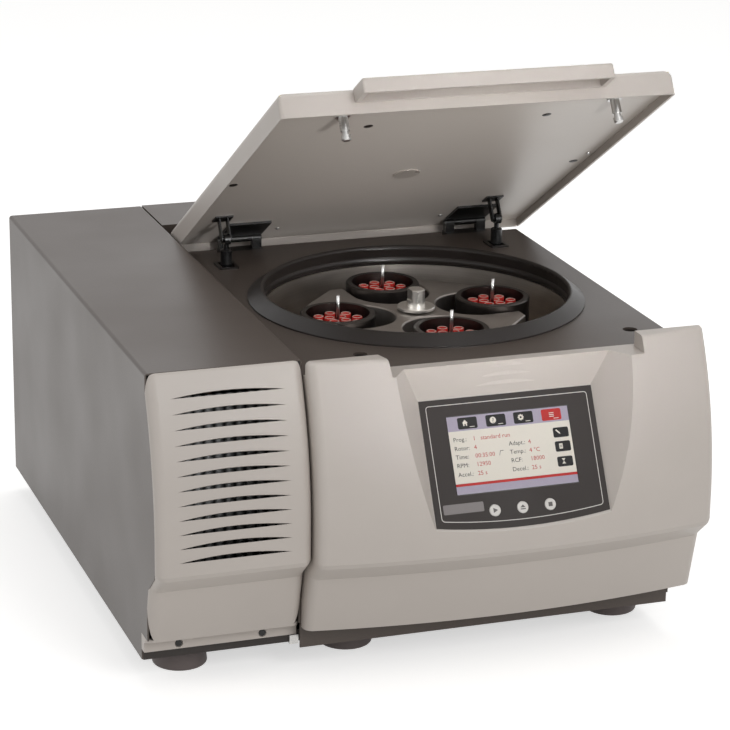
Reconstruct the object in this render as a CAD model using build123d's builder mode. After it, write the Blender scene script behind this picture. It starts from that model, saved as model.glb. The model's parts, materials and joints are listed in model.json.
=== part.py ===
from build123d import *

import os
from math import asin, atan, cos, degrees, radians, sin, sqrt

# Refrigerated bench centrifuge with a four-place swing-out rotor, its lid held open.
# X runs to the operator's right, Y to the back and Z up. The origin is on the bench, under the
# middle of the whole machine. Lengths are in millimetres.

os.makedirs("parts", exist_ok=True)

# ---- Driving dimensions: cabinet ----
width = 685.0
body_depth = 718.0  # flat front of the body to its back
front_bulge = 86.0  # furthest reach of the fascia in front of the body
cabinet_top = 394.0
deck_top = 375.0
base_bottom = 33.0
cabinet_width = 185.5
panel_gap = 1.5  # between the two front mouldings
side_overhang = 23.1  # lid and fascia beyond the right side wall
sheet = 2.0
base_sheet = 3.0
base_flange = 12.0
base_setback = 27.0
gutter_start = 525.0  # from the body's flat front
gutter_end = 612.0
gutter_floor = 359.0

# ---- Driving dimensions: front mouldings ----
moulding_wall = 3.0
arc_radius = 428.0
arc_foot = 197.0  # height where the front is upright
crease_top = 158.0
crease_bottom = 135.0
crease_depth = 30.0
apron_bottom = 65.0
fascia_bottom = 62.5
apron_depth = 49.0
lip_bottom = 60.0
lip_depth = 64.0
moulding_bottom = 47.5
cabinet_bulge = 49.0
plan_radius = 1450.0
side_round = 12.0  # rounded ends of both mouldings
top_round = 6.0
shoulder_back = 8.0  # shoulders end this far in front of the body
louvre_count = 12
louvre_pitch = 16.87
louvre_first = 180.4
louvre_half = 67.0
louvre_opening = 5.0
louvre_slope = 30.0

# ---- Driving dimensions: display ----
display_tilt = 28.0
bezel_width = 217.5
bezel_height = 149.5
bezel_x = 90.5
bezel_back = 46.7  # bezel centre in front of the body
bezel_z = 266.9
bezel_proud = 1.5
screen_width = 152.4
screen_height = 91.4
screen_shift_x = -1.6
screen_shift_up = 7.3
key_radius = 7.0
key_pitch = 34.7
key_drop = 60.8
key_travel = 1.2
key_gap = 0.3

# ---- Driving dimensions: chamber and drive ----
chamber_x = 76.0
chamber_from_front = 256.5
bowl_radius = 191.0
bowl_floor = 240.0
bowl_wall = 1.5
deck_hole = bowl_radius + 9.0
seal_top = 388.9
seal_base_radius = bowl_radius + 20.1
seal_foot = 362.6
guard_radius = bowl_radius + 33.0  # leaves room for the coil and the insulation
guard_wall = 5.0
foam_bottom = 205.0
coil_rows = 5
coil_depth = 8.0
shaft_radius = 10.0
motor_radius = 75.0
motor_top = 190.0
running_fit = 0.05

# ---- Driving dimensions: rotor and buckets ----
rotor_turn = 4.0
bucket_places = 4
pivot_radius = 106.0
pivot_z = 330.0
bucket_rim = 36.4  # rim above the pivot
bucket_outer = 47.0
bucket_inner = 39.5
bucket_body = 43.0
bucket_base = 66.0  # base below the pivot
collar_drop = 10.0
pin_radius = 4.0
pin_fit = 0.08
fork_half = 49.5
arm_top = 358.6
arm_bottom = 318.5
arm_reach = 120.0
arm_flat = 68.0
tube_radius = 6.6
tube_bore = 4.9
tube_top = 358.0
outer_ring = 26.0
inner_ring = 11.0
nut_collar = 24.0
nut_shoulder = 364.3
nut_knob = 11.4
nut_flat = 8.6
nut_top = 386.1
lifter_radius = 2.0
lifter_top = 388.2

# ---- Driving dimensions: lid ----
lid_left = -154.0
lid_front = 19.0  # closed, from the body's flat front
lid_length = 560.0
lid_rim_z = 379.0
lid_thickness = 32.0
lid_recess = 10.4
lid_wall = 3.0
lid_rim = 3.0
lid_open = 31.13
hinge_y = 549.5
hinge_z = 384.5
hinge_pin = 3.0
hinge_places = (-67.0, 253.0)
hinge_width = 58.0
knuckle_width = 32.0
latch_places = (-67.6, 278.0)
latch_inset = 35.6
latch_radius = 5.75
latch_length = 31.0
handle_left = -62.0
handle_right = 252.0
handle_reach = 36.0
handle_height = 18.5
handle_corner = 3.0
handle_wall = 3.0

# ---- Driving dimensions: gas springs ----
spring_places = (-112.0, 264.0)
spring_y = 459.1
spring_pin_y = 461.0  # the lid's pin with the lid open, from the body's flat front
spring_pin_z = 411.0
spring_swing = 2.0  # the pin moves this far along Y each way as the lid closes
spring_pin_radius = 2.5
cylinder_radius = 7.5
cylinder_top = 397.5
cylinder_length = 112.0
rod_radius = 3.0
clevis_half = 4.5
clevis_sheet = 2.0
bracket_z = 176.0

# ---- Driving dimensions: refrigeration ----
pipe_radius = 4.0
suction_offset = 60.0  # behind the chamber's axis
suction_z = 272.0
compressor_radius = 75.0
compressor_top = 235.0
compressor_from_front = 330.0
condenser_from_front = 35.0
condenser_depth = 40.0
condenser_width = 164.0
condenser_top = 350.0
fan_radius = 72.0
fan_tip_gap = 4.0
fan_shaft = 4.0

# ---- Driving dimensions: mains inlet and its switch ----
inlet_x = 255.0
inlet_z = 100.0
inlet_width = 62.0
inlet_height = 34.0
inlet_depth = 28.0
rocker_width = 12.0
rocker_height = 21.0
rocker_swing = 14.0

# ---- Places worked out from them ----
left = -width / 2
right = width / 2
body_front = front_bulge - (body_depth + front_bulge) / 2
body_back = body_front + body_depth
cabinet_right = left + cabinet_width
fascia_left = cabinet_right + panel_gap
fascia_middle = (fascia_left + right) / 2
body_right = right - side_overhang
chamber_y = body_front + chamber_from_front
hinge_line_y = body_front + hinge_y
suction_y = chamber_y + suction_offset
base_top = base_bottom + base_sheet
arc_sweep = degrees(asin((cabinet_top - arc_foot) / arc_radius))
arc_setback = arc_radius * (1 - cos(radians(arc_sweep)))


def block(x0, x1, y0, y1, z0, z1, mode=Mode.ADD):
    """A square-cornered block between two corners, in the part being built."""
    with Locations(((x0 + x1) / 2, (y0 + y1) / 2, (z0 + z1) / 2)):
        Box(x1 - x0, y1 - y0, z1 - z0, mode=mode)


def save(piece, name):
    """Label a finished piece and write it."""
    piece.part.label = name
    export_step(piece.part, f"parts/{name}.step")


# ---- Base ----
with BuildPart() as base_plate:
    block(left + sheet, body_right - sheet, body_front + base_setback, body_back - sheet,
          base_bottom, base_top + base_flange)
    block(left + sheet + base_sheet, body_right - sheet - base_sheet,
          body_front + base_setback + base_sheet, body_back - sheet - base_sheet,
          base_top, base_top + base_flange + 1, Mode.SUBTRACT)
    with BuildSketch(Plane.XY.offset(base_bottom)):
        with Locations(((left + cabinet_right) / 2, body_front + 330)):
            with GridLocations(14, 0, 8, 1):
                SlotOverall(90, 5, rotation=90)
    extrude(amount=base_sheet, mode=Mode.SUBTRACT)
save(base_plate, "base_plate")

foot_radius = 33.5
foot_top_radius = 29.0
front_feet_y = body_front + 85
rear_feet_y = body_front + 620
foot_places = [(x, y) for x in (-281, -72, 280.5) for y in (front_feet_y, rear_feet_y)]

with BuildPart() as rubber_feet:
    with Locations(*foot_places):
        Cone(foot_radius, foot_top_radius, base_bottom,
             align=(Align.CENTER, Align.CENTER, Align.MIN))
    fillet(rubber_feet.edges().group_by(Axis.Z)[0], radius=3)
save(rubber_feet, "rubber_feet")

with BuildPart() as joining_bracket:
    with BuildSketch(Plane.YZ.offset(cabinet_right - 5)):
        with BuildLine():
            Polyline((body_front + base_setback - 2.5, base_bottom + 9),
                     (body_front + base_setback - 2.5, base_bottom - 2.5),
                     (body_front + base_setback + 22, base_bottom - 2.5))
            offset(amount=2.5, side=Side.LEFT)
        make_face()
    extrude(amount=11)
save(joining_bracket, "joining_bracket")

# ---- Side profile that both front mouldings share ----
grille_bulge_y = body_front - cabinet_bulge
moulding_back_y = body_front + base_setback


def moulding_outline(bulge_y, back_y, lip=True):
    """Side outline of a front moulding: back edge, top, long arc, crease, apron and lip."""
    if lip:
        underside = [(bulge_y + apron_depth, apron_bottom), (bulge_y + lip_depth, lip_bottom),
                     (bulge_y + lip_depth, moulding_bottom), (back_y, moulding_bottom)]
    else:
        underside = [(bulge_y + apron_depth, fascia_bottom), (back_y, fascia_bottom)]
    with BuildLine() as outline:
        CenterArc((bulge_y + arc_radius, arc_foot), arc_radius, 180 - arc_sweep, arc_sweep)
        Polyline((bulge_y, arc_foot),
                 (bulge_y, crease_top + 6),
                 (bulge_y + 3, crease_top),
                 (bulge_y + crease_depth, crease_bottom),
                 *underside,
                 (back_y, cabinet_top),
                 (bulge_y + arc_setback, cabinet_top))
    return outline.edges()


def side_wing():
    """The cabinet's left wall where it runs on beside the moulding, behind its rounded end."""
    with BuildPart() as wing:
        with BuildSketch(Plane.YZ.offset(left)):
            make_face(moulding_outline(grille_bulge_y + side_round, moulding_back_y + side_round))
        extrude(amount=sheet)
        block(left, left + sheet, grille_bulge_y, body_front + 1,
              apron_bottom + moulding_wall, cabinet_top, Mode.INTERSECT)
    return wing.part


cabinet_wing = side_wing()

# ---- Compressor cabinet, the raised left-hand module ----
with BuildPart() as compressor_cabinet:
    block(left, cabinet_right, body_front, body_back, base_bottom + 1, cabinet_top)
    fillet(compressor_cabinet.edges().filter_by(Axis.Y).group_by(Axis.Z)[-1], radius=4)
    fillet(compressor_cabinet.edges().filter_by(Axis.Z).group_by(Axis.Y)[-1].sort_by(Axis.X)[0],
           radius=4)
    block(left + sheet, cabinet_right - sheet, body_front - 1, body_back - sheet,
          base_bottom, cabinet_top - sheet, Mode.SUBTRACT)
    block(cabinet_right - sheet - 1, cabinet_right + 1, body_front - 1, body_back + 1,
          base_bottom, base_top + base_flange + 0.5, Mode.SUBTRACT)
    # The front moulding wraps back under here.
    block(left - 1, cabinet_right + 1, body_front - 1, moulding_back_y,
          base_bottom, apron_bottom + moulding_wall, Mode.SUBTRACT)
    add(cabinet_wing)
    # Exhaust slots through the back.
    with BuildSketch(Plane.XZ.offset(-body_back)):
        with Locations(((left + cabinet_right) / 2, 215)):
            with GridLocations(0, 14, 1, 16):
                SlotOverall(130, 5)
    extrude(amount=-sheet - 2, both=True, mode=Mode.SUBTRACT)
    # The way through the inner wall for the suction pipe.
    with BuildSketch(Plane.YZ.offset(cabinet_right - sheet)):
        with Locations((suction_y, suction_z)):
            Circle(pipe_radius + 3)
    extrude(amount=sheet, mode=Mode.SUBTRACT)
save(compressor_cabinet, "compressor_cabinet")


# ---- Louvred front of the compressor cabinet ----
cabinet_middle = (left + cabinet_right) / 2
screw_radius = 4.0
screw_shank = 2.0
screw_sink = 2.0  # the heads lie this deep in the lip
screw_height = 54.0
screw_half_pitch = 51.0
screw_seat_y = grille_bulge_y + lip_depth
slope = radians(louvre_slope)


def front_y(bulge_y, height):
    """Where a moulding's front stands at a height, from the crease to the top."""
    rise = max(height - arc_foot, 0)
    return bulge_y + arc_radius - sqrt(arc_radius ** 2 - rise ** 2)


def lens(half_length, rise):
    """A lens with a straight lower edge and an arched upper one."""
    with BuildLine() as outline:
        ThreePointArc((-half_length, 0), (0, rise), (half_length, 0))
        Line((half_length, 0), (-half_length, 0))
    return outline.edges()


def round_the_ends(body, bulge_y, inset):
    """Round a moulding's two ends and its top front edge, or those of the space inside it."""
    for side in (0, -1):
        fillet(body.faces().filter_by(Axis.X).sort_by(Axis.X)[side].edges()
               .filter_by_position(Axis.Y, bulge_y - 1, body_front - 1),
               radius=side_round - inset)
    fillet(body.faces().filter_by(Axis.Z).sort_by(Axis.Z)[-1].edges()
           .filter_by_position(Axis.Y, bulge_y - 1, body_front + 6), radius=top_round - inset)


def grille_body(first_x, last_x, back_y, inset):
    """The louvred moulding's outer form, or the space inside its wall when inset."""
    with BuildPart() as body:
        with BuildSketch(Plane.YZ.offset(first_x)):
            make_face(moulding_outline(grille_bulge_y, back_y))
            if inset:
                offset(amount=-inset, mode=Mode.REPLACE)
        extrude(amount=last_x - first_x)
        round_the_ends(body, grille_bulge_y, inset)
    return body.part


grille_form = grille_body(left, cabinet_right, moulding_back_y, 0)
grille_hollow = grille_body(left + sheet + moulding_wall, cabinet_right - moulding_wall,
                            moulding_back_y + 40, moulding_wall)

with BuildPart() as grille_panel:
    add(grille_form)
    add(grille_hollow, mode=Mode.SUBTRACT)
    add(cabinet_wing, mode=Mode.SUBTRACT)
    # The cabinet's own walls stand behind the moulding, which wraps back only under them.
    block(left - 1, cabinet_right + 1, body_front, moulding_back_y + 1,
          apron_bottom + moulding_wall, cabinet_top + 1, Mode.SUBTRACT)
    # Each louvre slopes down into the cabinet, so the fins behind stay out of sight.
    for row in range(louvre_count):
        height = louvre_first + row * louvre_pitch
        with BuildSketch(Plane((cabinet_middle, front_y(grille_bulge_y, height), height),
                               x_dir=(1, 0, 0), z_dir=(0, -cos(slope), sin(slope)))):
            make_face(lens(louvre_half, louvre_opening))
        extrude(amount=14, both=True, mode=Mode.SUBTRACT)
    with Locations(*[(cabinet_middle + side * screw_half_pitch, screw_seat_y, screw_height)
                     for side in (-1, 1)]):
        Cylinder(screw_shank + 0.2, 20, rotation=(90, 0, 0), mode=Mode.SUBTRACT)
        Cylinder(screw_radius + 1, 2 * screw_sink, rotation=(90, 0, 0), mode=Mode.SUBTRACT)
save(grille_panel, "grille_panel")

screw_head = 1.6
screw_length = 11.0

with BuildPart() as grille_screws:
    with BuildSketch(Plane.XZ.offset(-screw_seat_y - screw_sink)):
        with Locations(*[(cabinet_middle + side * screw_half_pitch, screw_height)
                         for side in (-1, 1)]):
            Circle(screw_radius)
    extrude(amount=screw_head)
    with BuildSketch(Plane.XZ.offset(-screw_seat_y - screw_sink)):
        with Locations(*[(cabinet_middle + side * screw_half_pitch, screw_height)
                         for side in (-1, 1)]):
            Circle(screw_shank)
    extrude(amount=-screw_length)
save(grille_screws, "grille_screws")

# ---- Control fascia, the curved moulding in front of the chamber ----
fascia_bulge_y = body_front - front_bulge
plan_axis_y = fascia_bulge_y + plan_radius
# The arc is swept a little past both ends, which are then cut square.
plan_half_turn = degrees(asin((right - fascia_left) / 2 / plan_radius)) + 1.1
notch_left_back = -70.0
notch_left_front = -55.0
notch_right = 255.0
notch_run = 60.0  # the left wall of the step slants over this length
recess_half = 110.0  # half the recess's width at the bezel
recess_head = 77.0  # top of the recess's floor above the bezel's middle
recess_foot = 110.0
recess_reach = 70.0
flank_flare = 0.8  # outward run of the recess's side walls per unit of depth
head_flare = 1.4
groove_first = 11.0  # up the recess's head wall from the bezel's edge of it
groove_pitch = 11.5
groove_halves = (38.0, 31.0, 22.0)
groove_rise = 4.5
groove_lean = 22.0  # the floor of each groove leans into the wall
tilt = radians(display_tilt)
bezel_y = body_front - bezel_back
bezel_plane = Plane((bezel_x, bezel_y, bezel_z), x_dir=(1, 0, 0), z_dir=(0, -cos(tilt), sin(tilt)))
bezel_seat = bezel_plane.offset(-bezel_proud)


def moulding_body(back_y, inset):
    """The fascia's outer form, or the space inside its wall when inset."""
    turned = Plane((fascia_middle, plan_axis_y, 0), x_dir=(sin(radians(plan_half_turn)),
                   cos(radians(plan_half_turn)), 0),
                   z_dir=(cos(radians(plan_half_turn)), -sin(radians(plan_half_turn)), 0))
    with BuildPart() as body:
        with BuildSketch(turned):
            make_face(moulding_outline(-plan_radius, -plan_radius + 190, lip=False))
            if inset:
                offset(amount=-inset, mode=Mode.REPLACE)
        revolve(axis=Axis((fascia_middle, plan_axis_y, 0), (0, 0, 1)),
                revolution_arc=2 * plan_half_turn)
        block(fascia_left + inset, right - inset, fascia_bulge_y - 5, back_y,
              0, cabinet_top + 5, Mode.INTERSECT)
        round_the_ends(body, fascia_bulge_y, inset)
    return body.part


def notch_space(grow):
    """The step between the shoulders where the lid's handle comes down."""
    with BuildPart() as space:
        with BuildSketch(Plane.XY.offset(deck_top - grow)):
            with BuildLine():
                Polyline((notch_left_back, body_front + 60), (notch_left_back, body_front),
                         (notch_left_front, body_front - notch_run),
                         (notch_left_front, fascia_bulge_y - 20),
                         (notch_right, fascia_bulge_y - 20), (notch_right, body_front + 60),
                         close=True)
            make_face()
            if grow:
                offset(amount=grow, kind=Kind.INTERSECTION)
        extrude(amount=60)
        block(left, right + 10, body_front - shoulder_back - grow, body_front + 60,
              deck_top - grow, cabinet_top + 20)
    return space.part


def recess_space(grow):
    """The display's recess, which flares outwards from a tilted floor; below the deck's level."""
    up, seat = bezel_seat.y_dir, bezel_seat.origin
    half, head = [base + grow * sqrt(1 + flare ** 2)
                  for base, flare in ((recess_half, flank_flare), (recess_head, head_flare))]
    with BuildPart() as space:
        # Seen from the side: the floor, and the head wall that leans away from it.
        with BuildSketch(Plane(seat, x_dir=up, z_dir=(1, 0, 0))):
            with BuildLine():
                Polyline((-recess_foot, -grow), (head - head_flare * grow, -grow),
                         (head + head_flare * recess_reach, recess_reach),
                         (-recess_foot, recess_reach), close=True)
            make_face()
        extrude(amount=width, both=True)
        # Seen along the floor: the two side walls.
        with BuildSketch(Plane(seat, x_dir=(1, 0, 0), z_dir=-up)):
            with BuildLine():
                Polyline((-half + flank_flare * grow, -grow), (half - flank_flare * grow, -grow),
                         (half + flank_flare * recess_reach, recess_reach),
                         (-half - flank_flare * recess_reach, recess_reach), close=True)
            make_face()
        extrude(amount=width, both=True, mode=Mode.INTERSECT)
        block(left - width, right + width, fascia_bulge_y - width, body_front, 0, deck_top,
              Mode.INTERSECT)
    return space.part


def groove_plane(distance):
    """The floor of a groove that starts this far up the recess's head wall."""
    wall_slope = atan(head_flare)
    up, out = bezel_seat.y_dir, bezel_seat.z_dir
    foot = bezel_seat.origin + up * (recess_head + distance * sin(wall_slope)) \
        + out * (distance * cos(wall_slope))
    wall_up = up * sin(wall_slope) + out * cos(wall_slope)
    wall_out = out * sin(wall_slope) - up * cos(wall_slope)
    turn = radians(groove_lean)
    return Plane(foot, x_dir=(1, 0, 0), z_dir=wall_out * cos(turn) + wall_up * sin(turn))


fascia_form = moulding_body(moulding_back_y, 0)
fascia_hollow = moulding_body(moulding_back_y + 5, moulding_wall)
notch = notch_space(0)
notch_wall = notch_space(moulding_wall)
recess = recess_space(0)
recess_wall = recess_space(moulding_wall)
with BuildPart() as hollow:
    add(fascia_hollow)
    add(notch_wall, mode=Mode.SUBTRACT)
    add(recess_wall, mode=Mode.SUBTRACT)
window_width = screen_width + 12
window_height = screen_height + 12
module_depth = 7.0
glass_step = 0.4
key_places = [(step * key_pitch, -key_drop) for step in (-1, 0, 1)]
key_flange = 2.0
bezel_sag = 8.0

# Three lens-shaped grooves up the recess's head wall, each deepest along its upper edge.
with BuildPart() as grooves:
    for row, half in enumerate(groove_halves):
        with BuildSketch(groove_plane(groove_first + row * groove_pitch)):
            make_face(lens(half, groove_rise))
        extrude(amount=2 * moulding_wall)

with BuildPart() as control_fascia:
    add(fascia_form)
    add(notch, mode=Mode.SUBTRACT)
    add(recess, mode=Mode.SUBTRACT)
    add(hollow.part, mode=Mode.SUBTRACT)
    block(left - 1, right + 1, body_front, moulding_back_y + 1, 0, cabinet_top + 1, Mode.SUBTRACT)
    add(grooves.part, mode=Mode.SUBTRACT)
    # Window for the display and wells for the three keys.
    with BuildSketch(bezel_seat):
        with Locations((screen_shift_x, screen_shift_up)):
            Rectangle(window_width, window_height)
        with Locations(*key_places):
            Circle(key_radius + key_flange + 0.6)
    extrude(amount=-6, mode=Mode.SUBTRACT)
save(control_fascia, "control_fascia")

with BuildPart() as display_bezel:
    with BuildSketch(bezel_seat):
        with BuildLine():
            Polyline((-bezel_width / 2, -bezel_height / 2), (-bezel_width / 2, bezel_height / 2),
                     (bezel_width / 2, bezel_height / 2), (bezel_width / 2, -bezel_height / 2))
            ThreePointArc((bezel_width / 2, -bezel_height / 2),
                          (0, -bezel_height / 2 - bezel_sag),
                          (-bezel_width / 2, -bezel_height / 2))
        make_face()
        with Locations((screen_shift_x, screen_shift_up)):
            Rectangle(screen_width + 1.4, screen_height + 1.4, mode=Mode.SUBTRACT)
        with Locations(*key_places):
            Circle(key_radius + key_gap, mode=Mode.SUBTRACT)
    extrude(amount=bezel_proud)
save(display_bezel, "display_bezel")

with BuildPart() as display_module:
    with BuildSketch(bezel_seat):
        with Locations((screen_shift_x, screen_shift_up)):
            Rectangle(window_width - 1, window_height - 1)
    extrude(amount=-module_depth)
    with BuildSketch(bezel_seat):
        with Locations((screen_shift_x, screen_shift_up)):
            Rectangle(screen_width, screen_height)
    extrude(amount=bezel_proud - glass_step)
save(display_module, "display_module")

with BuildPart() as control_board:
    with BuildSketch(bezel_seat.offset(-module_depth)):
        with Locations((0, -10)):
            Rectangle(176, 134)
    extrude(amount=-1.6)
    with BuildSketch(bezel_seat.offset(-module_depth)):
        with Locations(*key_places):
            Rectangle(6, 6)
    extrude(amount=0.6)
save(control_board, "control_board")

for name, place in zip(("start_key", "lid_key", "stop_key"), key_places):
    with BuildPart() as key:
        with BuildSketch(bezel_seat.offset(-key_gap)):
            with Locations(place):
                Circle(key_radius + key_flange)
        extrude(amount=-2)
        with BuildSketch(bezel_seat.offset(-key_gap)):
            with Locations(place):
                Circle(key_radius)
        extrude(amount=bezel_proud + key_gap + 0.8)
        with BuildSketch(bezel_seat.offset(-key_gap - 2)):
            with Locations(place):
                Circle(3)
        extrude(amount=-(module_depth - 0.6 - key_gap - 2 - key_travel - 0.3))
        fillet(key.edges().filter_by(GeomType.CIRCLE).sort_by(Axis((0, 0, 0), bezel_plane.z_dir))[-1],
               radius=0.8)
    save(key, name)

# ---- Body shell of the right-hand module ----
deck_sheet = 2.5
deck_under = deck_top - deck_sheet
latch_y = body_front + lid_front + latch_inset
spring_line_y = body_front + spring_y
grommet_half_x = 10.5
grommet_half_y = 14.5
latch_hole = 9.0

with BuildPart() as side_panel:
    block(body_right - sheet, body_right, body_front, body_back, base_bottom + 1, deck_under)
    # It rises to the rear cover, and is cut down where the deck's gutter crosses it.
    block(body_right - sheet, body_right, body_front + gutter_end, body_back - sheet,
          base_bottom + 1, cabinet_top - sheet)
    block(body_right - sheet - 1, body_right + 1, body_front + gutter_start - deck_sheet,
          body_front + gutter_end + deck_sheet, gutter_floor - deck_sheet, cabinet_top + 1,
          Mode.SUBTRACT)
    block(body_right - sheet - 1, body_right + 1, body_front - 1, moulding_back_y,
          base_bottom, base_top + base_flange, Mode.SUBTRACT)
save(side_panel, "side_panel")

with BuildPart() as front_bulkhead:
    block(cabinet_right, body_right - sheet, body_front, body_front + sheet,
          base_top, deck_under)
    block(cabinet_right + 9, body_right - sheet, body_front, body_front + base_setback,
          base_top, base_top + sheet)
    with BuildSketch(Plane.XZ.offset(-body_front)):
        with Locations((bezel_x, bezel_z)):
            Rectangle(150, 60)
    extrude(amount=-sheet, mode=Mode.SUBTRACT)
save(front_bulkhead, "front_bulkhead")

with BuildPart() as deck_plate:
    with BuildSketch(Plane.YZ.offset(cabinet_right)):
        with BuildLine():
            Polyline((body_front, deck_top), (body_front + gutter_start, deck_top),
                     (body_front + gutter_start, gutter_floor),
                     (body_front + gutter_end, gutter_floor),
                     (body_front + gutter_end, cabinet_top - sheet))
            offset(amount=deck_sheet, side=Side.RIGHT, kind=Kind.INTERSECTION)
        make_face()
    extrude(amount=body_right - cabinet_right)
    with BuildSketch(Plane.XY.offset(deck_top)):
        with Locations((chamber_x, chamber_y)):
            Circle(deck_hole)
        with Locations(*[(x, spring_line_y) for x in spring_places]):
            Rectangle(2 * grommet_half_x, 2 * grommet_half_y)
        with Locations(*[(x, latch_y) for x in latch_places]):
            Circle(latch_hole)
    extrude(amount=-deck_sheet, mode=Mode.SUBTRACT)
save(deck_plate, "deck_plate")

with BuildPart() as rear_cover:
    with BuildSketch(Plane.YZ.offset(cabinet_right)):
        with BuildLine():
            Polyline((body_front + gutter_end - sheet, cabinet_top - 14),
                     (body_front + gutter_end - sheet, cabinet_top),
                     (body_back, cabinet_top), (body_back, cabinet_top - 14))
            offset(amount=sheet, side=Side.RIGHT, kind=Kind.INTERSECTION)
        make_face()
    extrude(amount=body_right - cabinet_right)
save(rear_cover, "rear_cover")

with BuildPart() as back_panel:
    block(cabinet_right, body_right - sheet, body_back - sheet, body_back,
          base_bottom + 1, cabinet_top - 14)
    with BuildSketch(Plane.XZ.offset(-body_back)):
        with Locations((chamber_x, 280)):
            with GridLocations(0, 14, 1, 5):
                SlotOverall(200, 5)
        with Locations((inlet_x, inlet_z)):
            Rectangle(inlet_width, inlet_height)
    extrude(amount=-sheet, both=True, mode=Mode.SUBTRACT)
save(back_panel, "back_panel")

with BuildPart() as spring_grommets:
    for x in spring_places:
        with BuildSketch(Plane.XY.offset(deck_top)):
            with Locations((x, spring_line_y)):
                RectangleRounded(2 * grommet_half_x + 5, 2 * grommet_half_y + 5, 3)
        extrude(amount=2)
        with BuildSketch(Plane.XY.offset(deck_top)):
            with Locations((x, spring_line_y)):
                Rectangle(2 * grommet_half_x, 2 * grommet_half_y)
        extrude(amount=-deck_sheet)
        with BuildSketch(Plane.XY.offset(deck_top + 2)):
            with Locations((x, spring_line_y)):
                Rectangle(2 * grommet_half_x - 4, 2 * grommet_half_y - 4)
        extrude(amount=-10, mode=Mode.SUBTRACT)
save(spring_grommets, "spring_grommets")

# ---- Chamber ----
chamber_plane = Plane((chamber_x, chamber_y, 0), x_dir=(1, 0, 0), z_dir=(0, -1, 0))
chamber_axis = Axis((chamber_x, chamber_y, 0), (0, 0, 1))
bowl_outer = bowl_radius + bowl_wall
bowl_hole = 30.0
coil_outer = bowl_outer + coil_depth
guard_inner = guard_radius - guard_wall
seal_neck = deck_hole - 0.2

with BuildPart() as chamber_seal:
    with BuildSketch(chamber_plane):
        with BuildLine():
            Polyline((bowl_radius + 2, seal_foot), (seal_neck, seal_foot), (seal_neck, deck_top),
                     (seal_base_radius, deck_top), (seal_base_radius, deck_top + 2),
                     (bowl_radius + 4, seal_top))
            ThreePointArc((bowl_radius + 4, seal_top), (bowl_radius + 0.6, seal_top - 1),
                          (bowl_radius - 0.5, seal_top - 4.5))
            Polyline((bowl_radius - 0.5, seal_top - 4.5), (bowl_radius + 2, deck_top - 2))
            ThreePointArc((bowl_radius + 2, deck_top - 2), (bowl_radius, deck_top - 7.5),
                          (bowl_radius + 2, seal_foot))
        make_face()
    revolve(axis=chamber_axis)
save(chamber_seal, "chamber_seal")

with BuildPart() as chamber_bowl:
    with BuildSketch(chamber_plane):
        with BuildLine():
            Polyline((bowl_hole, bowl_floor), (bowl_radius - 16, bowl_floor))
            RadiusArc((bowl_radius - 16, bowl_floor), (bowl_radius, bowl_floor + 16), -16)
            Polyline((bowl_radius, bowl_floor + 16), (bowl_radius, seal_foot),
                     (seal_neck - 1, seal_foot))
            offset(amount=bowl_wall, side=Side.RIGHT)
        make_face()
    revolve(axis=chamber_axis)
save(chamber_bowl, "chamber_bowl")

with BuildPart() as evaporator_coil:
    for row in range(coil_rows):
        height = bowl_floor + 24 + row * 21
        with BuildSketch(chamber_plane):
            with Locations(((bowl_outer + coil_outer) / 2, height)):
                Rectangle(coil_depth, 12)
        revolve(axis=chamber_axis)
save(evaporator_coil, "evaporator_coil")

with BuildPart() as chamber_insulation:
    with BuildSketch(chamber_plane):
        with BuildLine():
            Polyline((bowl_hole + 16, bowl_floor - bowl_wall), (bowl_hole + 16, foam_bottom),
                     (guard_inner, foam_bottom), (guard_inner, deck_under),
                     (coil_outer, deck_under), (coil_outer, bowl_floor - bowl_wall),
                     close=True)
        make_face()
    revolve(axis=chamber_axis)
save(chamber_insulation, "chamber_insulation")

with BuildPart() as guard_ring:
    with BuildSketch(Plane.XY.offset(base_top)):
        with Locations((chamber_x, chamber_y)):
            Circle(guard_radius)
            Circle(guard_inner, mode=Mode.SUBTRACT)
    extrude(amount=deck_under - base_top)
save(guard_ring, "guard_ring")

# ---- Drive ----
mount_height = 24.0
mount_circle = 95.0
frame_sheet = 6.0
frame_bottom = base_top + mount_height
frame_top = frame_bottom + frame_sheet

with BuildPart() as motor_mounts:
    with BuildSketch(Plane.XY.offset(base_top)):
        with Locations((chamber_x, chamber_y)):
            with PolarLocations(mount_circle, 3, start_angle=90):
                Circle(15)
    extrude(amount=mount_height)
save(motor_mounts, "motor_mounts")

with BuildPart() as motor_frame:
    with BuildSketch(Plane.XY.offset(frame_bottom)):
        with Locations((chamber_x, chamber_y)):
            Circle(88)
            with PolarLocations(mount_circle, 3, start_angle=90):
                Circle(22)
            Circle(40, mode=Mode.SUBTRACT)
    extrude(amount=frame_sheet)
save(motor_frame, "motor_frame")

with BuildPart() as drive_motor:
    with BuildSketch(chamber_plane):
        with BuildLine():
            Polyline((0, frame_top), (motor_radius + 6, frame_top), (motor_radius + 6, frame_top + 8),
                     (motor_radius, frame_top + 8), (motor_radius, motor_top - 10),
                     (motor_radius - 8, motor_top), (24, motor_top), (24, motor_top + 12),
                     (shaft_radius + running_fit, motor_top + 12),
                     (shaft_radius + running_fit, motor_top - 20), (0, motor_top - 20),
                     close=True)
        make_face()
    revolve(axis=chamber_axis)
save(drive_motor, "drive_motor")

cone_foot = 300.0
cone_foot_radius = 16.0
cone_top = 345.0
cone_top_radius = 9.0

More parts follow.
